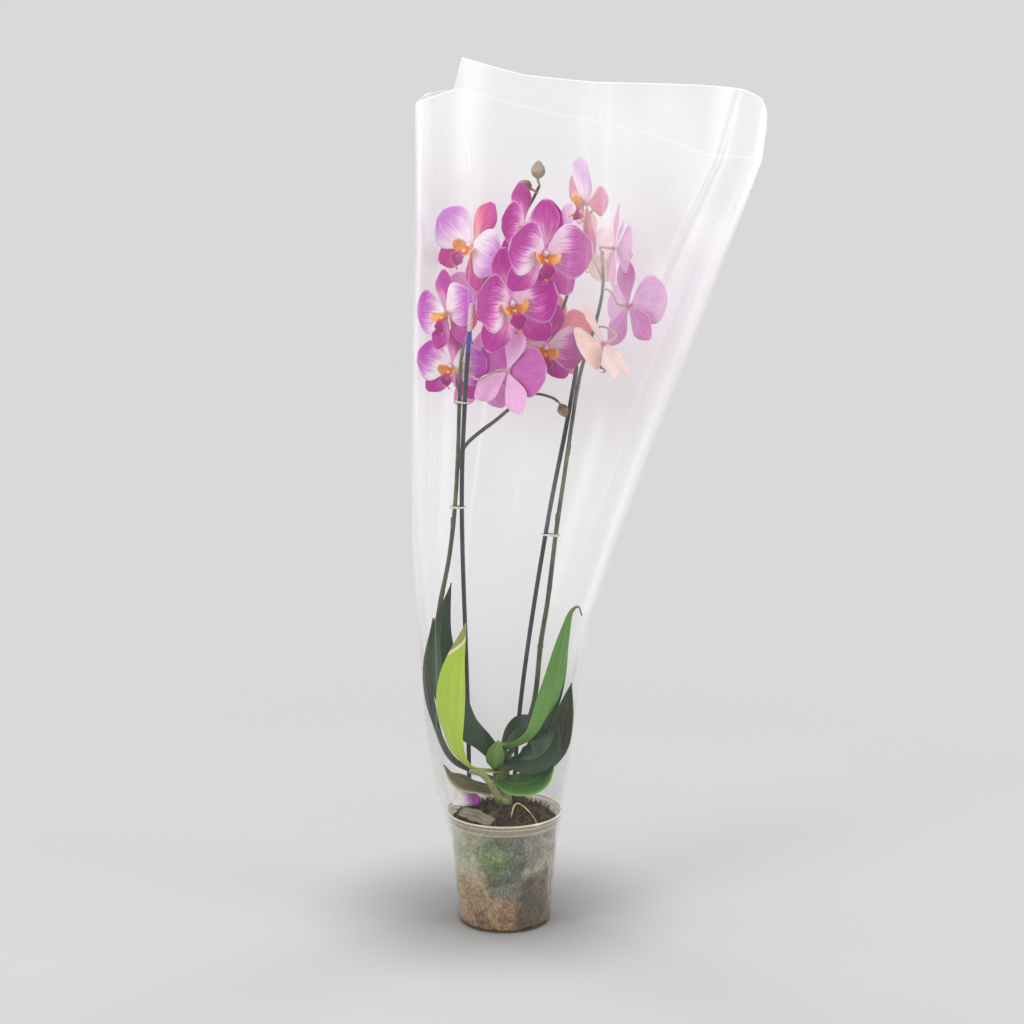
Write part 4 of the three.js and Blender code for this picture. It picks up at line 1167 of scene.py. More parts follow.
stake_left, stake_right = stake_rod(STAKE_LEFT), stake_rod(STAKE_RIGHT)
stake_with_painted_reflection, charcoal = stake_paint("banded_stake", (0.5955, 0.617)), stake_paint("charcoal_stake")
stand(rods("stake_left", [stake_left], 16, stake_with_painted_reflection), "stake", "stake_left")
stand(rods("stake_right", [stake_right], 16, charcoal), "stake", "stake_right")


# %% Ties
def tie_paint():
    paint = Paint("wire_tie")
    speck = paint.noise(paint.place(), 700, 2)
    colour = paint.colours(speck, (0.35, (206, 202, 190)), (0.65, (240, 238, 230)))
    return paint.done(paint.surface(base_color=colour, roughness=0.4, coat_weight=0.3))


tie_finish = tie_paint()


def tie(name, spike, stake, height):
    """A wire ring round a spike and a stake, twice round, with its ends twisted together."""
    a, b = at_height(spike, height), at_height(stake, height)
    apart = np.linalg.norm(b - a)
    across = unit(b - a)
    other = unit(np.cross([0, 0, 1], across))
    up = np.cross(across, other)
    reach, narrow = apart / 2 + 4.6, 5.0
    turns = np.linspace(0, 4 * math.pi, 73)[:-1]
    middle = (a + b) / 2
    loop = middle + np.outer(np.cos(turns) * reach, across) + np.outer(np.sin(turns) * narrow, other)
    loop += np.outer(0.7 * np.sin(turns / 2), up)
    twist = np.linspace(0, 5 * math.pi, 20)
    knot = middle + other * -(narrow + 0.3) + np.outer(np.linspace(0, 4, 20), other * -0.35 + across * 0.6)
    knot = knot + np.outer(np.cos(twist) * 0.5, up) + np.outer(np.sin(twist) * 0.5, other)
    stand(rods(name, [(np.vstack([loop, loop[:1]]), 0.55), (knot, 0.4)], 8, tie_finish), "tie", name)


tie("tie_left_low", left[0], stake_left[0], 434)
tie("tie_left_high", left[0], stake_left[0], 544)
tie("tie_right", right[0], stake_right[0], 405)

# %% [markdown]
# # Roots and the crown
# A thin yellow root loops out of the bark at the front. The crown is a short thick stem, ringed by
# the bases of old leaves. An old spike was cut off and left as a thick olive stub.


# %% Roots
def root_paint(name, dark, middle, light):
    paint = Paint(name)
    speck = paint.noise(paint.place(), 130, 4)
    colour = paint.colours(speck, (0.3, dark), (0.5, middle), (0.7, light))
    bump = paint.bump(speck, 0.4, 0.0005)
    return paint.done(paint.surface(base_color=colour, roughness=0.7, normal=bump))


root_finish = root_paint("live_root", (150, 138, 74), (206, 192, 118), (232, 224, 170))
wall_root_finish = root_paint("root_in_bark", (122, 100, 58), (176, 152, 100), (204, 186, 140))
ROOT = rows([6, -24, 112], [8, -30, 123], [12, -27, 131], [20, -29, 129], [31, -34, 118], [36, -37, 108])
# Roots pressed against the pot's wall: the turn about Z in degrees and the height of each place.
WALL_ROOTS = [
    [(-124, 69), (-119, 55), (-110, 36), (-102, 14)],
    [(-28, 92), (-20, 70), (-24, 44), (-12, 20)],
    [(14, 98), (22, 76), (16, 52), (28, 22)],
    [(58, 88), (70, 64), (64, 40), (80, 12)],
    [(110, 96), (102, 70), (116, 48), (108, 18)],
    [(152, 86), (146, 62), (160, 40), (150, 12)],
    [(196, 94), (188, 72), (200, 50), (190, 24)],
]


def wavy(places, steps, sway):
    points = spline(places, steps)
    u = np.linspace(0, 1, steps + 1)
    points[:, 2] += sway * np.sin(19 * u) * np.sin(math.pi * u)
    points[:, 0] += sway * np.sin(13 * u + 1) * np.sin(math.pi * u)
    return points


surface_root = (wavy(ROOT, 60, 0.7), np.linspace(0.85, 0.6, 61))
stand(rods("surface_root", [surface_root], 12, root_finish), "root", "surface_root")


def wall_root(turns_and_heights):
    """The points and radii of a root that lies half in the bark, against the wall."""
    places = []
    for degrees, z in turns_and_heights:
        reach = pot_radius(z) - 3.7
        places.append([reach * math.cos(math.radians(degrees)), reach * math.sin(math.radians(degrees)), z])
    return spline(places, 50), 2.4 * np.sin(np.linspace(0.25, math.pi - 0.25, 51)) ** 0.4


stand(rods("wall_roots", [wall_root(places) for places in WALL_ROOTS], 12, wall_root_finish), "root")

# %% Crown and old stub
crown_finish = stem_paint("crown_skin", (50, 46, 28), (98, 96, 56), (150, 150, 96), 0.55)
stub_finish = stem_paint("old_stub_skin", (92, 100, 54), (132, 142, 84), (172, 178, 124), 0.5)
up_crown = np.linspace(0, 1, 61)
crown_points = np.stack([-5 * up_crown, 0 * up_crown, 92 + 95 * up_crown], axis=1)
crown_radii = 9.3 - 2 * up_crown + 0.9 * np.abs(np.sin(13 * up_crown))
stand(rods("crown", [(crown_points, crown_radii)], 28, crown_finish), "stem", "crown")
stub_points = spline([[1, -5, 126], [-6, -21, 136], [-13, -30, 152], [-23, -36, 166], [-35, -38, 170]], 50)
stub_radii = np.interp(np.arange(51), [0, 8, 30, 46, 50], [4.4, 3.9, 3.3, 3.1, 2.6])
stand(rods("old_stub", [(stub_points, stub_radii)], 18, stub_finish), "stem", "old_stub")

# %% [markdown]
# # Leaves
# A moth orchid's leaf is thick, strap-shaped and glossy, folded along its midrib where it leaves the
# crown. Each leaf is one sheet along its own midrib. Beside the fold, the fine sheet has a groove
# along the midrib, a slow wave down its edges and long shallow veins, so that light runs along it.

# %% Leaf shape
LEAF_THICK, LEAF_RIM = 1.9, 0.7


def leaf_width(u, width, foot, pointed):
    """Width along a leaf. With pointed 0 its tip is blunt, and with pointed 1 it tapers early."""
    widest = 0.6 - 0.2 * pointed
    swell = foot + (1 - foot) * np.sin(np.minimum(1, u / widest) * math.pi / 2) ** 1.3
    reach = np.clip((u - widest) / (1 - widest), 0, 1)
    tip = np.maximum(0.03, np.cos(reach * math.pi / 2) ** (0.6 + 0.6 * pointed))
    return width * swell * tip


def leaf_piece(
    name, slot, finish, midrib, facing, width, seed, foot=0.4, pointed=0.4, fold=0.25, wave=0.0, steps=56
):
    phase = np.random.default_rng(seed).uniform(0, 6, 4)

    def width_at(u):
        return leaf_width(u, width, foot, pointed)

    def lift(u, s):
        half = width_at(u) / 2
        groove = -0.55 * np.exp(-((s / 0.07) ** 2)) * (1 - u) ** 0.5
        veins = 0.06 * np.cos(s * 34) * np.sin(math.pi * u)
        slow = 0.5 * s * s * np.sin(7 * u + phase[0] + 1.5 * s) * np.sin(math.pi * u)
        crumple = wave * (s * s * np.sin(9 * u + 2 * s) + 0.5 * np.sin(17 * u + phase[1]) * s)
        return fold * half * np.sqrt(s * s + 0.004) + groove + veins + slow + crumple

    parts = Parts()
    parts.add(*sheet(midrib, facing, width_at, lift, LEAF_THICK, LEAF_RIM, steps, 22, crowd=1.25))
    stand(parts.mesh(name, [finish]), slot, name)


# %% [markdown]
# A leaf's finish reads its own UV: how far along it a point is, for the dry tip, and how far across,
# for the pale midrib and the long veins. `under` gives the paler, matter underside.


# %% Leaf finish
def leaf_paint(name, dark, light, back, rib, tip=None, edge=None):
    paint = Paint(name)
    place = paint.place()
    along, across = paint.along_across()
    side = (across * 2 - 1).absolute()
    cloud = paint.noise(place, 24, 4, 0.55)
    veins = paint.noise(paint.vector(along * 2.2, across * 26, 0.0), 1.0, 3, 0.55)
    fine = paint.noise(place, 900, 2)
    colour = paint.colours(cloud * 0.65 + veins * 0.35, (0.34, dark), (0.66, light))
    colour = paint.mix(side.ramp(0.1, 0.0) * 0.6, colour, rib)
    if edge:
        colour = paint.mix(side.ramp(0.72, 1.0) * 0.75, colour, edge)
    colour = paint.mix(paint.value("under") * 0.85, colour, paint.mix(veins.ramp(0.4, 0.62) * 0.5, back, rib))
    rough = veins * 0.12 + 0.42 + paint.value("under") * 0.15
    if tip:
        start, dry, line = tip
        front = along + (across - 0.5) * 0.1 + (veins - 0.5) * 0.02
        colour = paint.mix(front.ramp(start - 0.012, start), colour, line)
        streaked = paint.mix(veins.ramp(0.4, 0.6) * 0.5, dry, dark)
        colour = paint.mix(front.ramp(start + 0.01, start + 0.025), colour, streaked)
        colour = paint.mix(along.ramp(0.985, 0.995), colour, (70, 50, 34))
        rough = rough + front.ramp(start, start + 0.02) * 0.35
    bump = paint.bump(veins * 0.96 + fine * 0.04, 0.2, 0.0006)
    shader = paint.surface(base_color=colour, roughness=rough.clamped(), normal=bump, coat_weight=0.06)
    return paint.done(shader)


deep = leaf_paint("deep_leaf", (2, 28, 8), (20, 66, 16), (40, 74, 28), (46, 92, 36))
grey_back = leaf_paint("leaf_seen_from_behind", (40, 46, 28), (76, 80, 52), (84, 90, 60), (124, 128, 96))
bright = leaf_paint(
    *("bright_leaf", (44, 98, 34), (78, 138, 52), (82, 130, 44), (124, 162, 84)),
    tip=(0.93, (196, 134, 86), (120, 92, 58)),
)
yellow = leaf_paint(
    *("yellowing_leaf", (142, 178, 42), (182, 208, 76), (160, 190, 48), (188, 210, 84)),
    tip=(0.86, (148, 140, 92), (226, 220, 172)),
    edge=(186, 206, 92),
)
fresh = leaf_paint(
    "fresh_leaf", (38, 86, 30), (74, 124, 46), (112, 148, 72), (104, 140, 78), edge=(122, 166, 66)
)
dead = leaf_paint(
    "dead_leaf", (70, 66, 48), (122, 118, 90), (146, 140, 112), (176, 168, 136), edge=(206, 198, 164)
)

# %% The eleven leaves
UP, BACK = [0, 0, 1], [0, 1, 0]
# Each leaf: its name, slot and finish, the places its midrib passes, the way its upper face looks at
# places along it, and its sizes.
LEAVES = [
    (
        *("leaf_left_pale", "pale_leaf", yellow),
        [[-6, -2, 158], [-26, -17, 164], [-46, -27, 180], [-55, -30, 215], [-53, -27, 265], [-38, -20, 322]],
        [UP, UP, [0.7, 0.5, 0.6], [0.5, 1, 0], BACK, BACK],
        dict(width=37, pointed=0.8, fold=0.12, seed=1),
    ),
    (
        *("leaf_left_dark", "leaf", deep),
        [[-6, 0, 172], [-22, -3, 189], [-42, -4, 208], [-60, -2, 250], [-66, 1, 300], [-54, 4, 356]],
        [[0, -0.5, 1], [0.3, -0.8, 0.7], [0.4, -0.8, 0.6], [0.5, -1, 0.2], [0.4, -1, 0], [0.4, -1, 0]],
        dict(width=36, foot=0.5, pointed=0.8, fold=0.22, seed=2),
    ),
    (
        *("leaf_left_far", "leaf", grey_back),
        [[-2, 2, 146], [-28, 3, 154], [-56, 6, 168], [-76, 12, 215], [-82, 16, 265], [-73, 18, 316]],
        [UP, UP, [0.7, 0, 0.7], [1, -0.4, 0.1], [1, -0.5, 0], [1, -0.6, 0]],
        dict(width=24, foot=0.3, pointed=1, seed=3),
    ),
    (
        *("leaf_left_dead", "dead_leaf", dead),
        [[-2, 2, 140], [-18, -12, 145], [-36, -20, 152], [-52, -24, 160], [-62, -25, 172]],
        [[0, -0.2, 1], [0, -0.5, 0.9], [0, -0.5, 0.9], [0.3, -0.4, 0.9], [0.5, -0.3, 0.9]],
        dict(width=24, fold=-0.3, wave=1.5, seed=4),
    ),
    (
        *("leaf_right_tall", "leaf", bright),
        [
            *([-3, -2, 181], [12, -14, 189], [28, -19, 199], [40, -18, 217], [48, -15, 245], [55, -12, 276]),
            *([61, -9, 303], [69, -6, 329], [75, -5, 333], [79, -5, 324]),
        ],
        [UP, [-0.2, 0.2, 1], [-0.5, 0.4, 0.8], [-0.6, 0.8, 0.3], [-0.2, 1, 0], *[BACK] * 5],
        dict(width=22, pointed=1, fold=0.75, seed=5, steps=84),
    ),
    (
        *("leaf_right_behind", "leaf", deep),
        [[2, 4, 156], [16, 11, 163], [32, 22, 180], [45, 30, 212], [56, 24, 252], [67, 12, 306]],
        [UP, UP, [-0.4, -0.4, 0.8], [-0.5, -1, 0.3], [-0.3, -1, 0], [-0.3, -1, 0]],
        dict(width=24, foot=0.3, pointed=1, fold=0.15, seed=11),
    ),
    (
        *("leaf_right_film", "leaf", grey_back),
        [[0, 2, 146], [22, 4, 150], [42, 6, 158], [56, 8, 180], [63, 8, 212], [69, 6, 250]],
        [UP, UP, [-0.5, -0.4, 1], [-0.8, -0.9, 0.3], [-0.7, -1, 0], [-0.7, -1, 0]],
        dict(width=32, foot=0.45, pointed=0.6, seed=6),
    ),
    (
        *("leaf_right_broad", "leaf", deep),
        [[5, -7, 172], [15, -20, 176], [30, -26, 179], [45, -26, 191], [55, -22, 212]],
        [[0, -0.4, 1], [-0.1, -0.7, 0.7], [-0.2, -0.8, 0.6], [-0.5, -0.7, 0.5], [-0.8, -0.5, 0.2]],
        dict(width=38, fold=0.15, seed=7),
    ),
    (
        *("leaf_right_low", "pale_leaf", fresh),
        [[-2, -8, 150], [12, -24, 151], [30, -31, 156], [43, -28, 168], [52, -24, 187]],
        [[0, -0.3, 1], [0, -0.5, 0.85], [-0.15, -0.5, 0.85], [-0.5, -0.4, 0.75], [-0.9, -0.2, 0.3]],
        dict(width=38, foot=0.65, fold=0.15, seed=8),
    ),
    (
        *("leaf_back_short", "leaf", deep),
        [[-3, 10, 176], [7, 8, 195], [20, 7.2, 204], [34, 7.5, 202], [45, 7, 193]],
        [[0, -0.2, 1], [-0.2, -0.4, 0.9], [0, -0.6, 0.8], [0.2, -0.6, 0.8], [0.4, -0.5, 0.8]],
        dict(width=27, fold=0.12, seed=9),
    ),
    (
        *("leaf_centre", "leaf", fresh),
        [[-11, -4, 162], [-10, -15, 168], [-9, -20, 182], [-6, -21, 197]],
        [BACK, [0, 1, 0.4], BACK, BACK],
        dict(width=19, foot=0.5, fold=0.45, seed=10, steps=36),
    ),
]
for *leaf, leaf_sizes in LEAVES:
    leaf_piece(*leaf, **leaf_sizes)
print("leaves:", len(LEAVES))

# %% [markdown]
# # Blooms
# A moth orchid's bloom has three sepals behind, two broad petals in front of them, a lip, and a
# column in the middle. The lip has two golden side lobes that stand up round the column, and a dark
# pointed middle lobe with two curled whiskers at its tip. One function makes a bloom in its own
# axes. Each bloom gets its own waver from its number, so no two are alike.

# %% Sepals and petals
SEPAL = dict(length=52, width=30, depth=-0.9, curl=1.2, cup=-0.8, steps=20, across=12)
PETAL = dict(length=49, width=55, depth=1.7, curl=1.8, cup=1.4, steps=22, across=18)
TEPAL_THICK, TEPAL_RIM = 0.7, 0.32
LIP_SIZE = 1.25


def sepal_width(u, width):
    return width * np.maximum(0.1, np.sin(math.pi * (0.03 + 0.92 * u**1.35)))


def petal_width(u, width):
    return width * np.maximum(0.07, np.sin(math.pi * (0.02 + 0.93 * u**1.1)) ** 0.85)


def tepal(degrees, lean, size, kind, width_at, draw):
    """One sepal or petal. It grows from the middle at an angle from the bloom's own up, and leans forward."""
    length, width, depth = kind["length"] * size, kind["width"] * size, kind["depth"]
    turn = math.radians(degrees + draw.uniform(-4, 4))
    curl, cup = kind["curl"] + draw.uniform(-1.5, 1.0), kind["cup"] + draw.uniform(-0.8, 0.8)
    phase = draw.uniform(0, 6, 3)
    aside = np.array([math.sin(turn), math.cos(turn), 0.0])
    ahead = np.array([0.0, 0.0, 1.0])
    tilt = math.radians(lean)
    out = aside * math.cos(tilt) + ahead * math.sin(tilt)
    face = ahead * math.cos(tilt) - aside * math.sin(tilt)

    def place(r, z):
        return ahead * depth + out * r * length + face * z

    def lift(u, s):
        ripple = 0.55 * np.abs(s) ** 3 * np.sin(11 * u + phase[0] + 2 * s) * np.sin(math.pi * u)
        groove = -0.28 * np.exp(-((s / 0.1) ** 2)) * np.sin(math.pi * np.minimum(1, u * 1.2 + 0.05))
        ribs = 0.05 * np.cos(22 * s + phase[1])
        return cup * s * s * np.sin(math.pi * u) + ripple + groove + ribs

    midrib = [place(0.04, 0), place(0.35, 0.6 * curl), place(0.7, 0.4 * curl), place(1, -curl)]
    shape = TEPAL_THICK, TEPAL_RIM, kind["steps"], kind["across"]
    return sheet(midrib, [face, face], lambda u: width_at(u, width), lift, *shape, crowd=1.3)


# %% The column and the lip
def column(size):
    """The short rod in the middle of a bloom, with its hooded white cap."""
    places = rows([0, 0, -3.8], [0, 0.3, 0], [0, 0.2, 4], [0, -0.8, 7.4]) * size
    return tube(places, np.array([1.9, 3.0, 2.9, 2.2, 2.1, 2.5, 2.6, 1.7]) * size, 14, 18)


def cap(size):
    places = rows([0, -0.5, 6.4], [0, -1.1, 8], [0, -2.0, 8.9]) * size
    return tube(places, np.array([2.1, 2.75, 2.5, 1.6, 0.4]) * size, 14, 10)


def side_lobe(size, hand, draw):
    """A golden wing that stands up beside the column."""
    midrib = rows([1.2, -4.0, 4.2], [5.0, -5.4, 7.6], [8.6, -3.4, 10.4], [9.6, 0.6, 11.6])
    wave = draw.uniform(-0.4, 0.4)
    return sheet(
        midrib * [hand, 1, 1] * size,
        [[-hand, 1.2, 0.6], [-hand, 0.4, 0.4]],
        lambda u: size * (3 + 9.5 * np.sin(math.pi * np.minimum(1, 0.1 + 0.86 * u)) ** 0.8),
        lambda u, s: size * (1.1 + wave) * s * s * np.sin(math.pi * u),
        *(0.9, 0.4, 14, 8),
        crowd=1.2,
    )


def middle_lobe(size):
    """The dark spear-shaped front of the lip."""
    midrib = rows([0, -4.4, 3.2], [0, -6.4, 8], [0, -11, 12.2], [0, -17, 12.6], [0, -21, 10.6]) * size
    widths = [[0, 4], [0.18, 5], [0.34, 5.5], [0.5, 9], [0.62, 14.5], [0.74, 11], [0.88, 5], [1, 1]]
    return sheet(
        midrib,
        [UP, UP],
        lambda u: size * eased(widths, u),
        lambda u, s: size * (1.6 * s * s * np.sin(math.pi * u) + 0.7 * np.exp(-((s / 0.2) ** 2)) * (1 - u)),
        *(1.3, 0.5, 26, 10),
    )


def whisker(size, hand):
    places = rows([0.3, -20.2, 11.0], [2.4, -22.6, 11.2], [4.4, -22.0, 13.6], [3.4, -20.2, 15.0])
    return tube(places * [hand, 1, 1] * size, np.array([0.75, 0.5, 0.32, 0.12]) * size, 7, 14)


def callus(size):
    """The yellow two-pointed pad where the lobes of the lip meet."""
    places = rows([0, -6.2, 7.8], [0, -6.6, 9.4], [0, -7.4, 10.4])
    return tube(places * size, np.array([2.2, 1.9, 0.7]) * size, 10, 8, flat=0.6)


# %% [markdown]
# Petals are coloured along their length: pale at the heart, then flushed, darkest towards the tip,
# with a thin white edge. Fine veins fan out from the heart. In the petal's own UV these are straight
# lines, so a noise stretched along the length draws them. The back is paler. Light sinks a little
# way into thin petals, which `soft_skin` gives.


# %% Light inside soft skin
def soft_skin(weight):
    return {"subsurface_weight": weight, "subsurface_scale": 0.002}


# %% Petal finish
def petal_paint(name, heart, body, tip, back, vein, stripes, spread=0.0):
    paint = Paint(name)
    place = paint.place()
    along, across = paint.along_across()
    side = (across * 2 - 1).absolute()
    cloud = paint.noise(place, 85, 4, 0.6)
    drift = paint.noise(place, 24, 2, 0.5)
    fan = paint.noise(paint.vector(along * 1.6, across * 24, 0.0), 1.0, 2, 0.5)
    fine = paint.noise(paint.vector(along * 5, across * 70, 3.0), 1.0, 2, 0.6)
    one_sided = (across - 0.5) * 0.3 + (drift - 0.5) * 0.5
    reach = along + one_sided + (cloud - 0.5) * 0.25 + (fan - 0.5) * 0.5 + spread
    flush = paint.colours(reach, (0.3, heart), (0.54, body), (0.76, tip))
    veins = (fan.ramp(0.46, 0.6) * 0.6 + fine.ramp(0.5, 0.66) * 0.5).clamped() * along.ramp(0.03, 0.25)
    colour = paint.mix(veins * stripes * reach.ramp(0.2, 0.6, 0.35, 1.0), flush, vein)
    back_colour = paint.mix(veins * 0.4, paint.mix(reach.ramp(0.3, 0.9) * 0.4, back, body), vein)
    colour = paint.mix(paint.value("under"), colour, back_colour)
    edge = side.ramp(0.93, 1.0).at_least(along.ramp(0.96, 0.995))
    colour = paint.mix(edge * 0.42, colour, (254, 240, 252))
    bump = paint.bump(fan * 0.6 + fine * 0.4, 0.22, 0.0006)
    return paint.done(
        paint.surface(base_color=colour, roughness=0.48, normal=bump, sheen_weight=0.12, **soft_skin(0.12))
    )


# Each finish: the tones of a petal's heart, body, tip, back and veins, how strong its veins are, and
# for mauve how far its colour spreads towards the heart.
PETAL_TONES = {
    "magenta": [(252, 222, 244), (222, 98, 198), (186, 14, 156), (236, 178, 234), (150, 4, 122), 0.48],
    "mauve": [(244, 172, 216), (212, 92, 180), (190, 44, 158), (236, 178, 234), (150, 4, 122), 0.6, 0.05],
    "plum": [(238, 170, 222), (204, 96, 184), (176, 40, 150), (206, 104, 188), (156, 30, 132), 0.6],
    "soft_magenta": [(252, 238, 248), (228, 152, 222), (194, 72, 190), (238, 196, 238), (170, 50, 160), 0.4],
    "lilac": [(254, 244, 252), (238, 204, 241), (210, 138, 218), (240, 214, 243), (200, 110, 200), 0.35],
    "striped_salmon": [
        *((248, 170, 170), (232, 100, 142), (204, 60, 160), (232, 110, 150), (184, 20, 124)),
        0.6,
    ],
    "peach": [(250, 228, 212), (236, 200, 186), (214, 156, 160), (236, 206, 192), (204, 124, 132), 0.4],
    "pink": [(255, 232, 246), (246, 176, 228), (232, 104, 208), (250, 196, 234), (222, 96, 196), 0.4],
    "rosy": [(250, 196, 196), (238, 140, 160), (224, 96, 160), (240, 150, 158), (206, 60, 120), 0.5],
    "washed": [(252, 240, 242), (244, 214, 230), (228, 150, 214), (248, 226, 232), (214, 120, 190), 0.35],
}
PETALS = {name: petal_paint(f"{name}_petal", *tones) for name, tones in PETAL_TONES.items()}
print("petal finishes:", len(PETALS))

# %% Lip, column and cap finishes
def lip_paint():
    paint = Paint("golden_lobe")
    place = paint.place()
    along, across = paint.along_across()
    cloud = paint.noise(place, 150, 3)
    stripe = paint.noise(paint.vector(along * 2, across * 22, 0.0), 1.0, 2)
    glow = cloud * 0.6 + along * 0.4
    gold = paint.colours(glow, (0.25, (236, 132, 22)), (0.5, (238, 168, 58)), (0.75, (250, 214, 168)))
    colour = paint.mix(stripe.ramp(0.56, 0.64) * (1 - along.ramp(0.3, 0.8)) * 0.7, gold, (176, 44, 60))
    return paint.done(paint.surface(base_color=colour, roughness=0.45, **soft_skin(0.1)))


def spear_paint():
    paint = Paint("dark_lip")
    along, across = paint.along_across()
    side = (across * 2 - 1).absolute()
    cloud = paint.noise(paint.place(), 170, 3)
    reach = along + (cloud - 0.5) * 0.2
    deep_end = (0.5, (164, 16, 120)), (1, (146, 12, 112))
    colour = paint.colours(reach, (0.12, (236, 150, 60)), (0.34, (206, 60, 92)), *deep_end)
    colour = paint.mix(side.ramp(0.88, 1.0) * 0.5, colour, (232, 160, 214))
    return paint.done(paint.surface(base_color=colour, roughness=0.4, coat_weight=0.15))


def plain_paint(name, dark, light):
    """A finish that drifts between two near tones."""
    paint = Paint(name)
    colour = paint.colours(paint.noise(paint.place(), 160), (0.35, dark), (0.65, light))
    return paint.done(paint.surface(base_color=colour, roughness=0.45))


lobe_finish, spear_finish = lip_paint(), spear_paint()
column_finish = plain_paint("column_skin", (206, 92, 168), (244, 206, 228))
cap_finish = plain_paint("pollen_cap", (236, 214, 224), (252, 246, 244))
callus_finish = plain_paint("callus", (236, 190, 60), (250, 222, 110))

# %% One bloom
def bloom(number, at, turn, tilt, roll, lean, size, petals, sepals, **_):
    """The tepals and column of a bloom as one piece, and its lip as another."""
    draw = np.random.default_rng(100 + number)
    matrix = bloom_matrix(at, turn, tilt, roll)
    tepals = Parts()
    for degrees in (0, 142, -142):
        part = tepal(degrees, 0, size, SEPAL, sepal_width, draw)
        tepals.add(*part, slot=1)
    for degrees in (80, -80):
        part = tepal(degrees, lean, size, PETAL, petal_width, draw)
        tepals.add(*part, slot=0)
    tepals.add(*column(size), slot=2)
    tepals.add(*cap(size), slot=3)
    name = f"bloom_{number:02d}"
    finishes = [PETALS[petals], PETALS[sepals], column_finish, cap_finish]
    stand(tepals.moved(matrix).mesh(name, finishes), "bloom", name)
    lip = Parts()
    lip_size = LIP_SIZE * size
    for hand in (-1, 1):
        lip.add(*side_lobe(lip_size, hand, draw), slot=0)
        lip.add(*whisker(lip_size, hand), slot=1)
    lip.add(*middle_lobe(lip_size), slot=1)
    lip.add(*callus(lip_size), slot=2)
    name = f"lip_{number:02d}"
    stand(lip.moved(matrix).mesh(name, [lobe_finish, spear_finish, callus_finish]), "lip", name)


# The finish of each bloom's petals, then of its sepals.
BLOOM_COLOURS = [
    *[("magenta", "mauve")] * 3,
    ("lilac", "striped_salmon"),
    *[("soft_magenta", "mauve")] * 2,
    ("mauve", "striped_salmon"),
    ("mauve", "mauve"),
    ("plum", "pink"),
    ("magenta", "mauve"),
    ("rosy", "rosy"),
    ("lilac", "rosy"),
    ("lilac", "pink"),
    ("lilac", "mauve"),
    ("peach", "peach"),
    ("washed", "peach"),
]
for number, (spec, (petals, sepals)) in enumerate(zip(BLOOMS, BLOOM_COLOURS), 1):
    bloom(number, petals=petals, sepals=sepals, **spec)
print("blooms:", len(BLOOMS))

# %% [markdown]
# # Buds
# A bud is a closed egg, with three seams where its sepals meet. Its outline is turned about its own
# axis and dented a little along each seam.


# %% Buds
def bud_paint():
    paint = Paint("bud_skin")
    along, across = paint.along_across()
    cloud = paint.noise(paint.place(), 120, 4)
    skin = paint.colours(cloud, (0.3, (98, 72, 56)), (0.5, (136, 104, 82)), (0.7, (170, 142, 112)))
    colour = paint.mix(along.ramp(0.35, 0.0) * 0.7, skin, (142, 134, 84))
    seam = (across * 3 * 2 * math.pi).sine().ramp(0.93, 1.0)
    colour = paint.mix(seam * 0.6, colour, (78, 54, 44))
    return paint.done(paint.surface(base_color=colour, roughness=0.42, coat_weight=0.2))


def bud(name, foot, tip, radius):
    foot, tip = rows(foot)[0], rows(tip)[0]
    axis = unit(tip - foot)
    first = unit(np.cross(axis, [0.3, 1, 0.2]))
    second = np.cross(axis, first)
    sides, levels = 36, 26
    h = (1 - np.cos(np.linspace(0, math.pi, levels + 1))) / 2
    outline = np.sin(math.pi * h**0.85) ** 0.72 * (1 - 0.12 * h)
    turns = np.arange(sides) * 2 * math.pi / sides
    dent = 1 - 0.05 * np.maximum(0, np.sin(3 * turns)) ** 12
    ring = np.outer(np.cos(turns) * dent, first) + np.outer(np.sin(turns) * dent, second)
    corners = foot + h[:, None, None] * (tip - foot) + (outline * radius)[:, None, None] * ring[None]
    faces = grid_faces(levels + 1, sides, closed=True)
    uv = np.stack([np.repeat(h, sides), np.tile(turns / (2 * math.pi), levels + 1)], axis=1)
    parts = Parts()
    corners = corners.reshape(-1, 3)
    parts.add(corners, outward(corners, faces), uv, np.zeros(len(corners)))
    stand(merged(parts.mesh(name, [bud_finish])), "bud", name)


bud_finish = bud_paint()
bud("bud_top", [33, -3, 762], [34, -5, 780], 7.6)
bud("bud_side", [27, 0, 752], [14, -1, 759], 6.6)
bud("bud_branch", [56, -3.5, 540], [62, -6, 527], 6)

# %% [markdown]
# # The fallen bloom
# One bloom has dropped on the bark by the rim. It has wilted: three soft tepals lie folded over each
# other, white where they have dried and magenta where they have not.


# %% Fallen bloom
def wilted_paint():
    paint = Paint("wilted_petal")
    place = paint.place()
    x, y, z = paint.axes(place)
    cloud = paint.noise(place, 70, 3)
    reach = (x * 38 + 1.95 + (cloud - 0.5) * 1.6).clamped()
    still_bright = (0.74, (206, 96, 212)), (1, (176, 40, 178))
    colour = paint.colours(reach, (0.3, (240, 236, 232)), (0.5, (232, 200, 234)), *still_bright)
    crease = paint.noise(paint.vector(x * 60, y * 380, z * 380), 1.0, 3)
    bump = paint.bump(crease, 0.5, 0.001)
    return paint.done(paint.surface(base_color=colour, roughness=0.55, normal=bump, **soft_skin(0.1)))


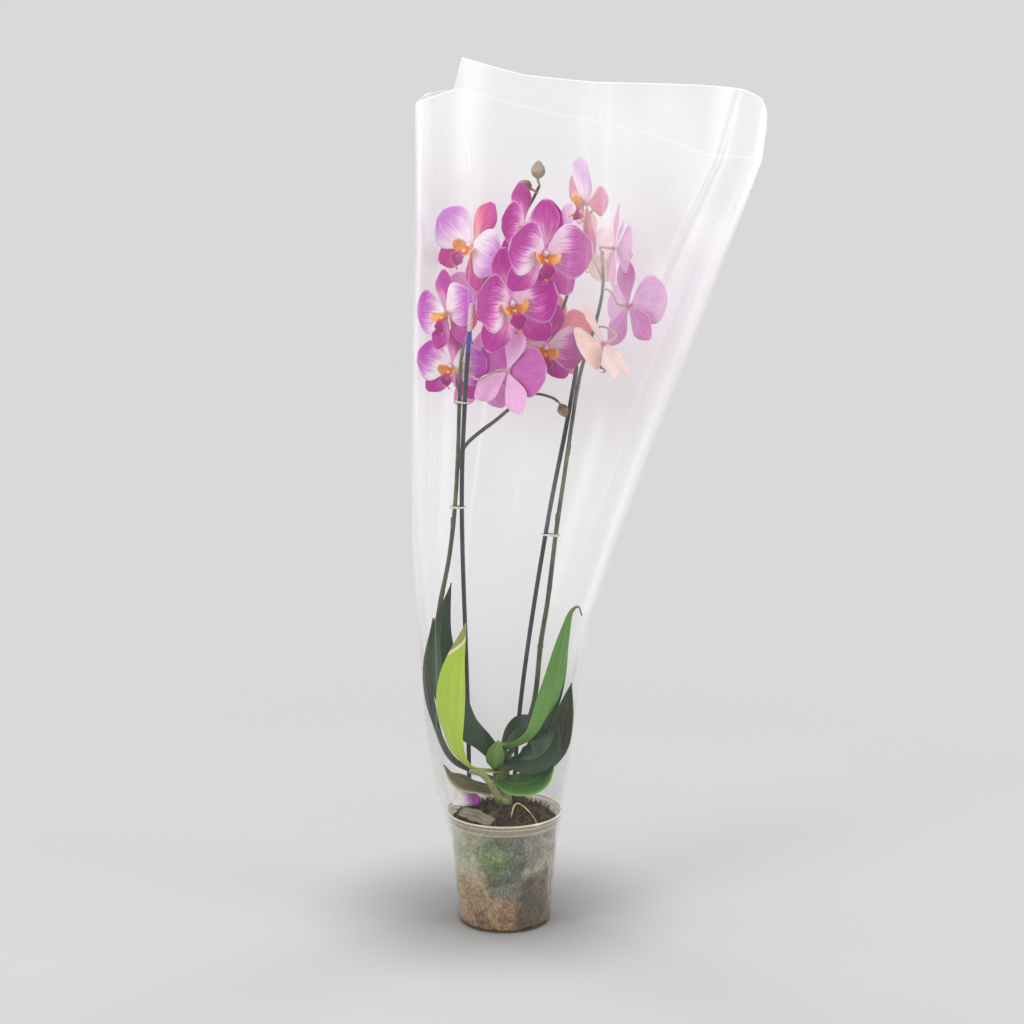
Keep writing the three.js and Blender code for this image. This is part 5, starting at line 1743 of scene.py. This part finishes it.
fallen = Parts()
for i in (-1, 0, 1):
    phase = 2.1 * i
    fallen.add(
        *sheet(
            [[-28, 1, 125.5], [-39, 1 + 6 * i, 135.5 + 4 * i], [-54, 3 + 9 * i, 133.5 + 6 * i]],
            [[0, -0.3, 1], [0.1, 0.5 * i - 0.4, 1], [-0.3, 0.8 * i - 0.5, 0.8]],
            lambda u: 19 * np.sin(math.pi * (0.12 + 0.76 * u)),
            lambda u, s: -1.5 * s * s + 0.8 * np.sin(5 * u + 3 * s) + 0.35 * np.sin(16 * u + phase) * s,
            *(0.9, 0.5, 26, 16),
        )
    )
fallen.add(*tube([[-24.5, 1, 125], [-29, 1, 126], [-33, 1, 129]], [2.2, 5.2, 5.4, 3.2, 1.2], 20, 16))
stand(fallen.mesh("fallen_bloom", [wilted_paint()]), "withered_bloom", "fallen_bloom")

# %% [markdown]
# # The film
# A florist's sleeve is a flat cone of clear polypropylene film, welded down both edges. Pulled up
# round a plant it opens into a rounded cone: tight pleats where its foot grips the pot, long soft
# folds higher up, and stiff lines at the welds. It is so thin that one sheet of faces is right.
# The sheet follows the frame's sections by height. Every fold only presses it inward, so that it
# stays inside its true outline.

# %% Sections of the cone
SLEEVE_LEFT = rows(
    *([88, -56.6], [100, -60], [110, -63], [134, -72], [170, -77], [215, -83]),
    *([276, -87], [318, -90.5], [400, -95], [600, -94], [700, -90], [860, -88]),
)
SLEEVE_RIGHT = rows(
    *([88, 56.4], [100, 58.8], [110, 61.3], [134, 62.8], [170, 68.7], [215, 75], [276, 82]),
    *([318, 88], [400, 115], [500, 151], [600, 189], [700, 225], [780, 254], [860, 264]),
)
SLEEVE_DEPTH = rows(
    *([88, 56.4], [100, 58.8], [110, 61.3], [170, 65], [276, 73], [400, 86], [500, 94], [600, 101]),
    *([700, 107], [860, 112]),
)
SLEEVE_SQUARE = rows([112, 2], [200, 2.3])
# The height of the top edge by the angle round the mouth, 0 at the right and 270 at the front.
SLEEVE_TOP = rows(
    *([0, 790], [20, 783], [45, 786], [90, 822], [135, 852], [160, 846], [180, 833], [205, 838]),
    *([222, 845], [226, 875], [250, 858], [270, 851], [300, 849], [320, 846], [335, 838]),
    *([345, 825], [353, 806], [360, 790]),
)
SLEEVE_FOOT = 88
# Where each weld runs: pairs of height and angle.
FRONT_WELD = rows(
    *([88, 197], [130, 199], [180, 212], [250, 220], [370, 225], [540, 228], [620, 236], [875, 227])
)
RIGHT_WELD = rows([88, 340], [200, 346], [400, 352], [860, 354])

# %% Folds
FILM_COLUMNS, FILM_LEVELS = 336, 240
# Each wave of the long folds: how many go round, how deep, how far they twist, and their start.
LONG_FOLDS = [(2, 1.0, 0.8, 0.4), (3, 1.0, -1.2, 2.1), (5, 0.7, 1.0, 4.0), (9, 0.3, -0.8, 1.2)]


def long_folds(angle, t):
    """Soft folds that run up the cone and open out towards the top, 3 mm deep in all."""
    turn = np.radians(angle)
    folds = 0
    for count, depth, twist, phase in LONG_FOLDS:
        folds = folds + depth * (0.5 + 0.5 * np.sin(count * turn + twist * t + phase)) * t**0.4
    return folds


def foot_pleats(angle, z):
    """Tight pleats where the film is drawn in round the pot."""
    turn = np.radians(angle)
    near = np.exp(-np.maximum(z - 100, 0) / 42)
    return near * (0.4 * (1 + np.sin(31 * turn + 0.02 * z)) + 0.35 * (1 + np.sin(19 * turn - 0.03 * z)))


# Sharp creases: the angle and height of both ends, how deep and how wide, in millimetres.
CREASES = [
    ((318, 846), (296, 600), 1.6, 3.5),
    ((331, 800), (318, 640), 1.1, 3),
    ((345, 660), (334, 470), 1.1, 3),
    ((318, 520), (338, 300), 1.2, 3.5),
    ((300, 420), (336, 190), 1.2, 3.5),
    ((30, 700), (48, 320), 1.5, 5),
    ((110, 800), (118, 300), 1.6, 5),
    ((150, 760), (142, 260), 1.4, 5),
]


def creases(angle, z, girth):
    """Narrow valleys along straight lines on the film."""
    valleys = 0
    for (a0, z0), (a1, z1), depth, width in CREASES:
        along = np.clip((z - z0) / (z1 - z0), 0, 1)
        beside = (angle - (a0 + (a1 - a0) * along)) / 360 * girth
        past = np.maximum(0, np.maximum(z - z0, z1 - z))
        ends = np.exp(-((past / 25) ** 2)) * np.sin(math.pi * (0.08 + 0.84 * along))
        valleys = valleys + depth * np.exp(-((beside / width) ** 2)) * ends
    return valleys


# %% The sheet
def film_sheet(finish):
    angles = np.arange(FILM_COLUMNS) * 360 / FILM_COLUMNS
    levels = np.linspace(0, 1, FILM_LEVELS + 1) ** 1.15
    aa, tt = np.meshgrid(angles, levels)
    top = stepped(SLEEVE_TOP, aa)
    z = SLEEVE_FOOT + (top - SLEEVE_FOOT) * tt
    left, right, depth = (stepped(table, z) for table in (SLEEVE_LEFT, SLEEVE_RIGHT, SLEEVE_DEPTH))
    girth = math.pi * (right - left + 2 * depth) / 2
    inset = 0.3 + long_folds(aa, tt) + foot_pleats(aa, z) + creases(aa, z, girth)
    left, right, depth = left + inset, right - inset, depth - inset
    power = 2 / stepped(SLEEVE_SQUARE, z)
    c, s = np.cos(np.radians(aa)), np.sin(np.radians(aa))
    x = (left + right) / 2 + (right - left) / 2 * np.sign(c) * np.abs(c) ** power
    y = depth * np.sign(s) * np.abs(s) ** power
    corners = np.stack([x, y, z], axis=-1).reshape(-1, 3)
    uv = np.stack([aa / 360, (z - SLEEVE_FOOT) / 800], axis=-1).reshape(-1, 2)
    parts = Parts()
    parts.add(corners, grid_faces(FILM_LEVELS + 1, FILM_COLUMNS, closed=True), uv, np.zeros(len(corners)))
    mesh = parts.mesh("film_sleeve", [finish])
    for name, weld in (("from_front_weld", FRONT_WELD), ("from_right_weld", RIGHT_WELD)):
        beside = (aa - stepped(weld, z)) / 360 * girth
        mesh.attributes.new(name, "FLOAT", "POINT").data.foreach_set("value", beside.ravel())
    mesh.attributes.new("from_top", "FLOAT", "POINT").data.foreach_set("value", (top - z).ravel())
    return mesh


# %% [markdown]
# Clear film shows by what it reflects and by a slight milkiness. Its shader is clear, mixed with
# white where it is hazy or welded, in a broad veil that is partly milkiness and partly painted
# reflection of the lights, and in patches of painted glare. The white glows faintly, which is painted
# light. Over both lies a gloss that grows where the film is seen edge on. Its haze lies in long
# streaks, so it is a noise stretched along the height.


# %% Clear film
# Painted glare on the front of the film, white patches that stand for reflections of the lights: the
# middle of each patch in X and Z, its half width and half height in metres, and how white it is.
GLARE_PATCHES = [
    (0.093, 0.781, 0.033, 0.074, 0.30),
    (0.150, 0.801, 0.037, 0.048, 0.28),
    (0.095, 0.692, 0.020, 0.046, 0.26),
    (0.196, 0.709, 0.022, 0.024, 0.40),
    (-0.056, 0.796, 0.019, 0.055, 0.26),
    (0.025, 0.469, 0.030, 0.050, 0.20),
    (0.086, 0.645, 0.033, 0.100, 0.26),
]


def film_paint():
    paint = Paint("clear_film")
    place = paint.place()
    x, y, z = paint.axes(place)
    streak = paint.noise(paint.vector(x * 34, y * 34, z * 3.0), 1.0, 4, 0.6)
    cloud = paint.noise(place, 7, 3, 0.5)
    fine = paint.noise(paint.vector(x * 160, y * 160, z * 9.0), 1.0, 3, 0.6)
    back = y.ramp(-0.01, 0.03)
    below_edge = x * -0.275 + 0.847 - z
    both = below_edge.ramp(0.0, 0.1)
    # Painted glare: white patches on the front that stand for reflections of the lights.
    spots = 0.0
    for x0, z0, wide, high, strength in GLARE_PATCHES:
        away = ((x - x0) / wide) ** 2 + ((z - z0) / high) ** 2
        spots = (1 - away).ramp(-0.6, 0.9) * strength + spots
    # The veil is partly milkiness and partly painted reflection of the lights.
    veil_and_painted_reflection = back * both * 0.5 + (1 - back) * (1 - both) * 0.45
    wisps = streak.ramp(0.5, 0.72) * 0.6 + fine.ramp(0.55, 0.75) * 0.25 + 0.35
    haze_and_painted_reflection = veil_and_painted_reflection + spots * wisps * (1 - back) + streak.ramp(0.6, 0.78) * 0.05 + cloud.ramp(0.55, 0.75) * 0.02
    weld = paint.value("from_front_weld").absolute()
    other = paint.value("from_right_weld").absolute()
    rim = paint.value("from_top").ramp(1.4, 0.7) * 0.45
    lines = weld.ramp(1.0, 0.5) * 0.12 + other.ramp(1.2, 0.6) * 0.3 + rim
    # Painted light: the milk's faint emission makes the film glow.
    milk = paint.surface(
        base_color=(0.93, 0.93, 0.94, 1), roughness=0.6, emission_color=(1, 1, 1, 1), emission_strength=0.15
    )
    clear = paint.node("BsdfTransparent", {}, {"Color": (0.99, 0.99, 0.992, 1)})
    gloss = paint.node("BsdfGlossy", {}, {"Color": (1, 1, 1, 1), "Roughness": 0.24})
    body = paint.blend((haze_and_painted_reflection + lines).clamped(), clear, milk)
    return paint.done(paint.blend((paint.facing() ** 6 * 0.34 + 0.035).clamped(), body, gloss))


stand(film_sheet(film_paint()), "film", "sleeve")

# %% [markdown]
# # The studio
# The photo is a plain product shot: an even pale grey behind, a soft shadow under the pot, and large
# soft lights. The world gives the even grey. The floor is a pale disc that fades into it, with a
# painted soft shadow under the pot. Tall softboxes to both sides and behind draw the long reflections
# that make clear film visible.


# %% World and floor
FLOOR_RADIUS, FLOOR_SIDES, FLOOR_DROP = 1.4, 96, 0.0003


def paint_world(level):
    world = bpy.data.worlds.new("even_grey")
    world.use_nodes = True
    world.node_tree.nodes["Background"].inputs["Color"].default_value = level
    bpy.context.scene.world = world


def floor_paint():
    paint = Paint("pale_floor")
    place = paint.place()
    x, y, _ = paint.axes(place)
    far = (x * x + y * y) ** 0.5
    beside = ((x + 0.01) ** 2 + (y - 0.03) ** 2) ** 0.5
    grain = paint.noise(place, 3, 2)
    # Painted shadow: the floor darkens towards a point just behind the pot's middle.
    shade = beside.ramp(0.23, 0.03) * 0.47
    floor_and_painted_shadow = paint.mix(grain * 0.04 + shade, (205, 205, 205), (70, 70, 72))
    body = paint.surface(base_color=floor_and_painted_shadow, roughness=0.9, specular_ior_level=0.0)
    clear = paint.node("BsdfTransparent")
    return paint.done(paint.blend(far.ramp(0.3, 1.1), body, clear))


paint_world(tone(217, 217, 217))
floor = bpy.data.meshes.new("floor")
turns = np.linspace(0, 2 * math.pi, FLOOR_SIDES + 1)[:-1]
rim = [(FLOOR_RADIUS * math.cos(t), FLOOR_RADIUS * math.sin(t), -FLOOR_DROP) for t in turns]
floor.from_pydata(rim, [], [tuple(range(FLOOR_SIDES))])
floor.materials.append(floor_paint())
in_scene("floor", floor)


# %% Softboxes
def softbox(name, place, aim, width, height, watts):
    light = bpy.data.lights.new(name, "AREA")
    light.shape, light.size, light.size_y, light.energy = "RECTANGLE", width, height, watts
    lamp = in_scene(name, light)
    lamp.location = place
    ray = mathutils.Vector(aim) - mathutils.Vector(place)
    lamp.rotation_euler = ray.to_track_quat("-Z", "Y").to_euler()
    lamp.visible_camera = False


softbox("key_left", (-1.9, -1.5, 1.3), (0, 0, 0.5), 0.9, 1.5, 17)
softbox("fill_right", (2.1, -0.9, 0.55), (0.05, 0, 0.5), 0.8, 1.5, 15)
softbox("rim_left", (-1.7, 1.7, 1.0), (0, 0, 0.5), 0.7, 1.6, 13)
softbox("rim_right", (1.9, 1.5, 0.9), (0.05, 0, 0.5), 0.7, 1.6, 13)
softbox("top", (0, -0.2, 2.3), (0, 0, 0), 1.2, 1.2, 12)

# %% [markdown]
# The camera stands two metres in front, a little below the top of the film, and looks ten degrees
# down. The lens is long, so that the spikes stay parallel.

# %% Camera
SENSOR, FOCAL_PIXELS, PICTURE, PITCH = 36, 2009, 1024, 9.93
camera = bpy.data.cameras.new("camera")
camera.sensor_width = SENSOR
camera.lens = SENSOR * FOCAL_PIXELS / PICTURE
viewer = in_scene("camera", camera)
viewer.location = (0.0078, -2.0, 0.78)
viewer.rotation_euler = (math.radians(90 - PITCH), 0, 0)
bpy.context.scene.camera = viewer
bpy.context.scene.view_settings.view_transform = "Standard"
